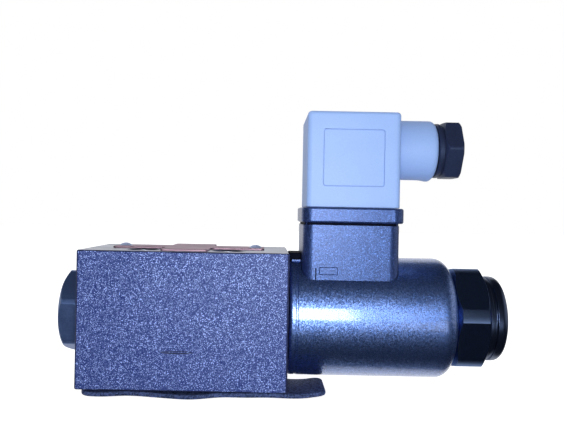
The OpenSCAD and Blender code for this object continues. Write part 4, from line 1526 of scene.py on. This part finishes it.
@dataclass
class PortCover(SubAssembly):
    """The thin plastic cover under the ports, slack in front, with a pull tab. Sizes in millimetres."""

    tab_y: float = -2.0
    tab_l: float = 11.0
    corner_r: float = 3.0
    inner_r: float = 0.6
    edge_r: float = 0.3
    thickness: float = 1.3
    centre: Pair = (8.0, -9.0)
    front_y: Pair = (5.0, 20.0)
    dip: float = 0.95
    dip_x: float = 0.5
    dip_l: float = 9.0
    left_dip: float = 0.5
    left_x: float = -25.0
    curl: float = 0.7
    curl_x: Pair = (33.0, 42.0)
    ripple: float = 0.12
    ripple_turn: float = 0.45
    ripple_start: float = 1.0
    hole_r: float = 3.45
    hole_past: float = 3.0
    peg_r: float = 2.35
    peg_h: float = 1.0
    peg_chamfer: float = 0.2

    def slack(self, x: Array, y: Array) -> Array:
        """Height of the sheet: two Gaussian dips and a ripple that grow to the front, and a curl at the tab.

        Args:
            x: places along the valve.
            y: places across it.

        Returns:
            The move of the sheet along Z.
        """
        front = smooth_step(-y, *self.front_y)
        dip = self.dip * np.exp(-(((x - self.dip_x) / self.dip_l) ** 2))
        dip += self.left_dip * np.exp(-(((x - self.left_x) / self.dip_l) ** 2))
        ripple = self.ripple * (0.5 - 0.5 * np.cos(x * self.ripple_turn + self.ripple_start))
        tab = smooth_step(x, *self.curl_x)
        return self.curl * tab**2 - front * (dip + ripple * (1.0 - tab))

    def sheet(self) -> Piece:
        """The sheet: the outline drawn towards its centre in rings, over the top, round the edge and under.

        Returns:
            The sheet, with no holes.
        """
        (x0, y0, _), (x1, y1, _) = span("transport_cover")
        inner = x1 - self.tab_l
        corners = [(x0, y0), (x1, y0), (x1, self.tab_y), (inner, self.tab_y), (inner, y1), (x0, y1)]
        radii = [self.corner_r] * 3 + [self.inner_r] + [self.corner_r] * 2
        outline = spaced(rounded(corners, radii, steps=10), step=0.6)
        bend = np.linspace(0.0, math.pi, 9)
        share = np.linspace(0.0, 1.0, 28)
        edge = self.edge_r * (1.0 - np.sin(bend))
        rim = column(outline, np.zeros(len(bend)), edge)[..., :2]
        faces = np.array(self.centre) + share[:, None, None] * (rim[0] - np.array(self.centre))
        flat = np.concatenate([faces, rim[1:-1], faces[::-1]])
        half = self.thickness / 2.0
        top = np.full(len(share), half)
        level = np.concatenate([top, half * np.cos(bend[1:-1]), -top])
        height = level[:, None] - half + self.slack(flat[..., 0], flat[..., 1])
        return skin("port_cover", np.concatenate([flat, height[..., None]], -1), Ends.POLES)

    def build(self) -> list[Piece]:
        """Makes the sheet, joins its pegs on and cuts its screw holes.

        Returns:
            The cover.
        """
        cover = self.sheet()
        peg = [(-self.thickness / 2.0, self.peg_r), (self.peg_h - self.peg_chamfer, self.peg_r),
               (self.peg_h, self.peg_r - self.peg_chamfer)]
        for place in LAYOUT.ports():
            carve(cover, post(place, peg, count=48), cut=Cut.ON)
        hole = [(-self.thickness - self.hole_past, self.hole_r), (self.hole_past, self.hole_r)]
        for place in LAYOUT.screws():
            carve(cover, post(place, hole, count=64))
        return [self.dress(cover, COVER, "transport_cover", "cover")]


@dataclass
class PhotoCamera:
    """The camera at the photograph's place, in metres: level, looking along +Y, slightly rolled."""

    place: Place = (0.02405, -0.2099, 0.0521)
    roll: float = 1.1
    lens: float = 41.5
    sensor: float = 36.0
    shift: Pair = (0.0284, -0.0112)
    near: float = 0.005

    def build(self) -> None:
        """Makes the camera and sets it as the scene's own."""
        data = bpy.data.cameras.new("camera")
        data.lens = self.lens
        data.sensor_width = self.sensor
        data.shift_x, data.shift_y = self.shift
        data.clip_start = self.near
        camera = bpy.data.objects.new("camera", data)
        bpy.context.scene.collection.objects.link(camera)
        level = Matrix.Rotation(math.radians(90.0), 4, "X")
        rolled = level @ Matrix.Rotation(math.radians(self.roll), 4, "Z")
        camera.matrix_world = Matrix.Translation(self.place) @ rolled
        bpy.context.scene.camera = camera


@dataclass
class Studio:
    """Soft lamps, a surround and a pale floor. Lengths in metres, powers in watts.

    A band gives the values of a ray's direction where a part of the surround starts to show and shows fully.
    """

    key_at: Place = (0.036, -0.245, 0.062)
    key_size: float = 0.09
    key_spread: float = 120.0
    key_power: float = 0.185
    top_at: Place = (0.0, 0.05, 0.6)
    top_size: float = 0.6
    top_spread: float = 180.0
    top_power: float = 0.35
    aim: Place = (0.03, 0.0, 0.045)
    ambient: float = 0.64
    room: Colour = (0.016, 0.019, 0.028)
    ceiling: Colour = (0.034, 0.038, 0.046)
    ceiling_band: Pair = (0.86, 0.96)
    side: Colour = (0.65, 0.65, 0.65)
    side_band: Pair = (0.70, 0.88)
    panel: Colour = (1.3, 1.3, 1.3)
    panel_at: Place = (0.338, -0.929, -0.152)
    panel_band: Pair = (0.978, 0.990)
    back_right: float = 0.6
    back_above: float = 0.26
    back_band: Pair = (0.35, 0.50)
    fill_left: float = -0.35
    fill_band: Pair = (-0.4, 0.3)
    floor_size: float = 4.0
    floor_t: float = 0.005
    floor_colour: Colour = (0.85, 0.86, 0.88)
    floor_glow: float = 0.9

    def lamp(self, name: str, place: Place, size: float, power: float, spread: float, mirrored: bool) -> None:
        """Makes a square lamp that faces the object.

        Args:
            name: name of the lamp.
            place: where it stands.
            size: length of its sides.
            power: its power.
            spread: angle of its beam, in degrees.
            mirrored: whether it shows in shiny surfaces.
        """
        data = bpy.data.lights.new(name, "AREA")
        data.size = size
        data.energy = power
        data.spread = math.radians(spread)
        lamp = bpy.data.objects.new(name, data)
        bpy.context.scene.collection.objects.link(lamp)
        lamp.location = place
        lamp.rotation_euler = (Vector(self.aim) - Vector(place)).to_track_quat("-Z", "Y").to_euler()
        lamp.visible_glossy = mirrored

    def mirrored(self, net: Net, x: Socket, y: Socket, z: Socket) -> Socket:
        """Adds the room that shiny surfaces mirror: white behind, dim in front, with ceiling, side and panel.

        Args:
            net: tree that gets the nodes.
            x: share of the ray's direction along X.
            y: share along Y.
            z: share along Z.

        Returns:
            Socket of the colour.
        """
        overhead = net.maths("SUBTRACT", z, net.maths("MAXIMUM", y, 0.0))
        walls = net.mix(net.ramp(overhead, *self.ceiling_band), opaque(self.room), opaque(self.ceiling))
        beside = net.maths("ADD", x, net.maths("MINIMUM", z, 0.0))
        walls = net.mix(net.ramp(beside, *self.side_band), walls, opaque(self.side))
        shares = [net.maths("MULTIPLY", axis, share) for axis, share in zip((x, y, z), self.panel_at)]
        facing = net.maths("ADD", shares[0], net.maths("ADD", shares[1], shares[2]))
        walls = net.mix(net.ramp(facing, *self.panel_band), walls, opaque(self.panel))
        right = net.maths("MULTIPLY", net.maths("MAXIMUM", x, 0.0), self.back_right)
        above = net.maths("MULTIPLY", z, self.back_above)
        behind = net.maths("SUBTRACT", net.maths("SUBTRACT", y, right), above)
        return net.mix(net.ramp(behind, *self.back_band), walls, opaque(WHITE))

    def surround(self) -> None:
        """Makes the world: white to the camera, the room to shiny surfaces, a soft fill to the others."""
        world = bpy.data.worlds.new("surround")
        bpy.context.scene.world = world
        world.use_nodes = True
        net = Net(world.node_tree)
        x, y, z = net.add("SeparateXYZ", {0: net.add("TexCoord").outputs["Generated"]}).outputs
        path = net.add("LightPath").outputs
        fill = net.maths("MAXIMUM", y, net.maths("SUBTRACT", self.fill_left, x))
        scattered = net.mix(net.ramp(fill, *self.fill_band), opaque(self.room), opaque(WHITE))
        colour = net.mix(path["Is Diffuse Ray"], self.mirrored(net, x, y, z), scattered)
        colour = net.mix(path["Is Camera Ray"], colour, opaque(WHITE))
        shiny = net.maths("MAXIMUM", path["Is Glossy Ray"], path["Is Transmission Ray"])
        seen = net.maths("MAXIMUM", shiny, path["Is Camera Ray"])
        strength = net.ramp(seen, 0.0, 1.0, self.ambient, 1.0)
        back = net.add("Background", {"Color": colour, "Strength": strength})
        net.add("OutputWorld", {"Surface": back.outputs[0]})

    def floor(self) -> None:
        """Makes the floor just under the object: pale, with a glow that only the camera sees."""
        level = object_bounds()[0][2] / MM
        side = self.floor_size / MM
        outline = rectangle(side, side, radius=1.0)
        floor = skin("floor", prism(outline, level - self.floor_t / MM, level))
        made = bpy.data.materials.new("floor")
        made.use_nodes = True
        net = Net(made.node_tree)
        matt = net.add("BsdfDiffuse", {"Color": opaque(self.floor_colour)})
        seen = net.maths("MULTIPLY", net.add("LightPath").outputs["Is Camera Ray"], self.floor_glow)
        glow = net.add("Emission", {"Color": opaque(WHITE), "Strength": seen})
        both = net.add("AddShader", {0: matt.outputs[0], 1: glow.outputs[0]})
        net.add("OutputMaterial", {"Surface": both.outputs[0]})
        floor.data.materials.append(made)
        floor.visible_glossy = False
        floor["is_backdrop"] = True

    def build(self) -> None:
        """Sets the view transform, the lamps, the surround and the floor."""
        bpy.context.scene.view_settings.view_transform = "Standard"
        self.lamp("key", self.key_at, self.key_size, self.key_power, self.key_spread, True)
        self.lamp("top", self.top_at, self.top_size, self.top_power, self.top_spread, False)
        self.surround()
        self.floor()


def dress_frame() -> None:
    """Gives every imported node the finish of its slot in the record, and the rivets their own."""
    for part in frame["record"]["subparts"]:
        node = frame["nodes"][part["node"]]
        finish = RIVET if part["node"] == "nameplate_rivets" else FRAME_FINISHES[part["material_slot"]]
        node.data.materials.clear()
        node.data.materials.append(finish.material())


def main() -> None:
    """Builds the camera, every sub-assembly, the frame's finishes and the studio, in that order."""
    logging.basicConfig(level=logging.INFO, format="%(message)s")
    PhotoCamera().build()
    for kind in (CastBody, EndPlug, CoilJacket, TerminalBox, CablePlug, CoilEnd, TopPlate, PortCover):
        for piece in kind().build():
            log.info("%s: %s, %d faces", kind.__name__, piece.name, len(piece.data.polygons))
    dress_frame()
    Studio().build()


if __name__ == "__main__":
    main()
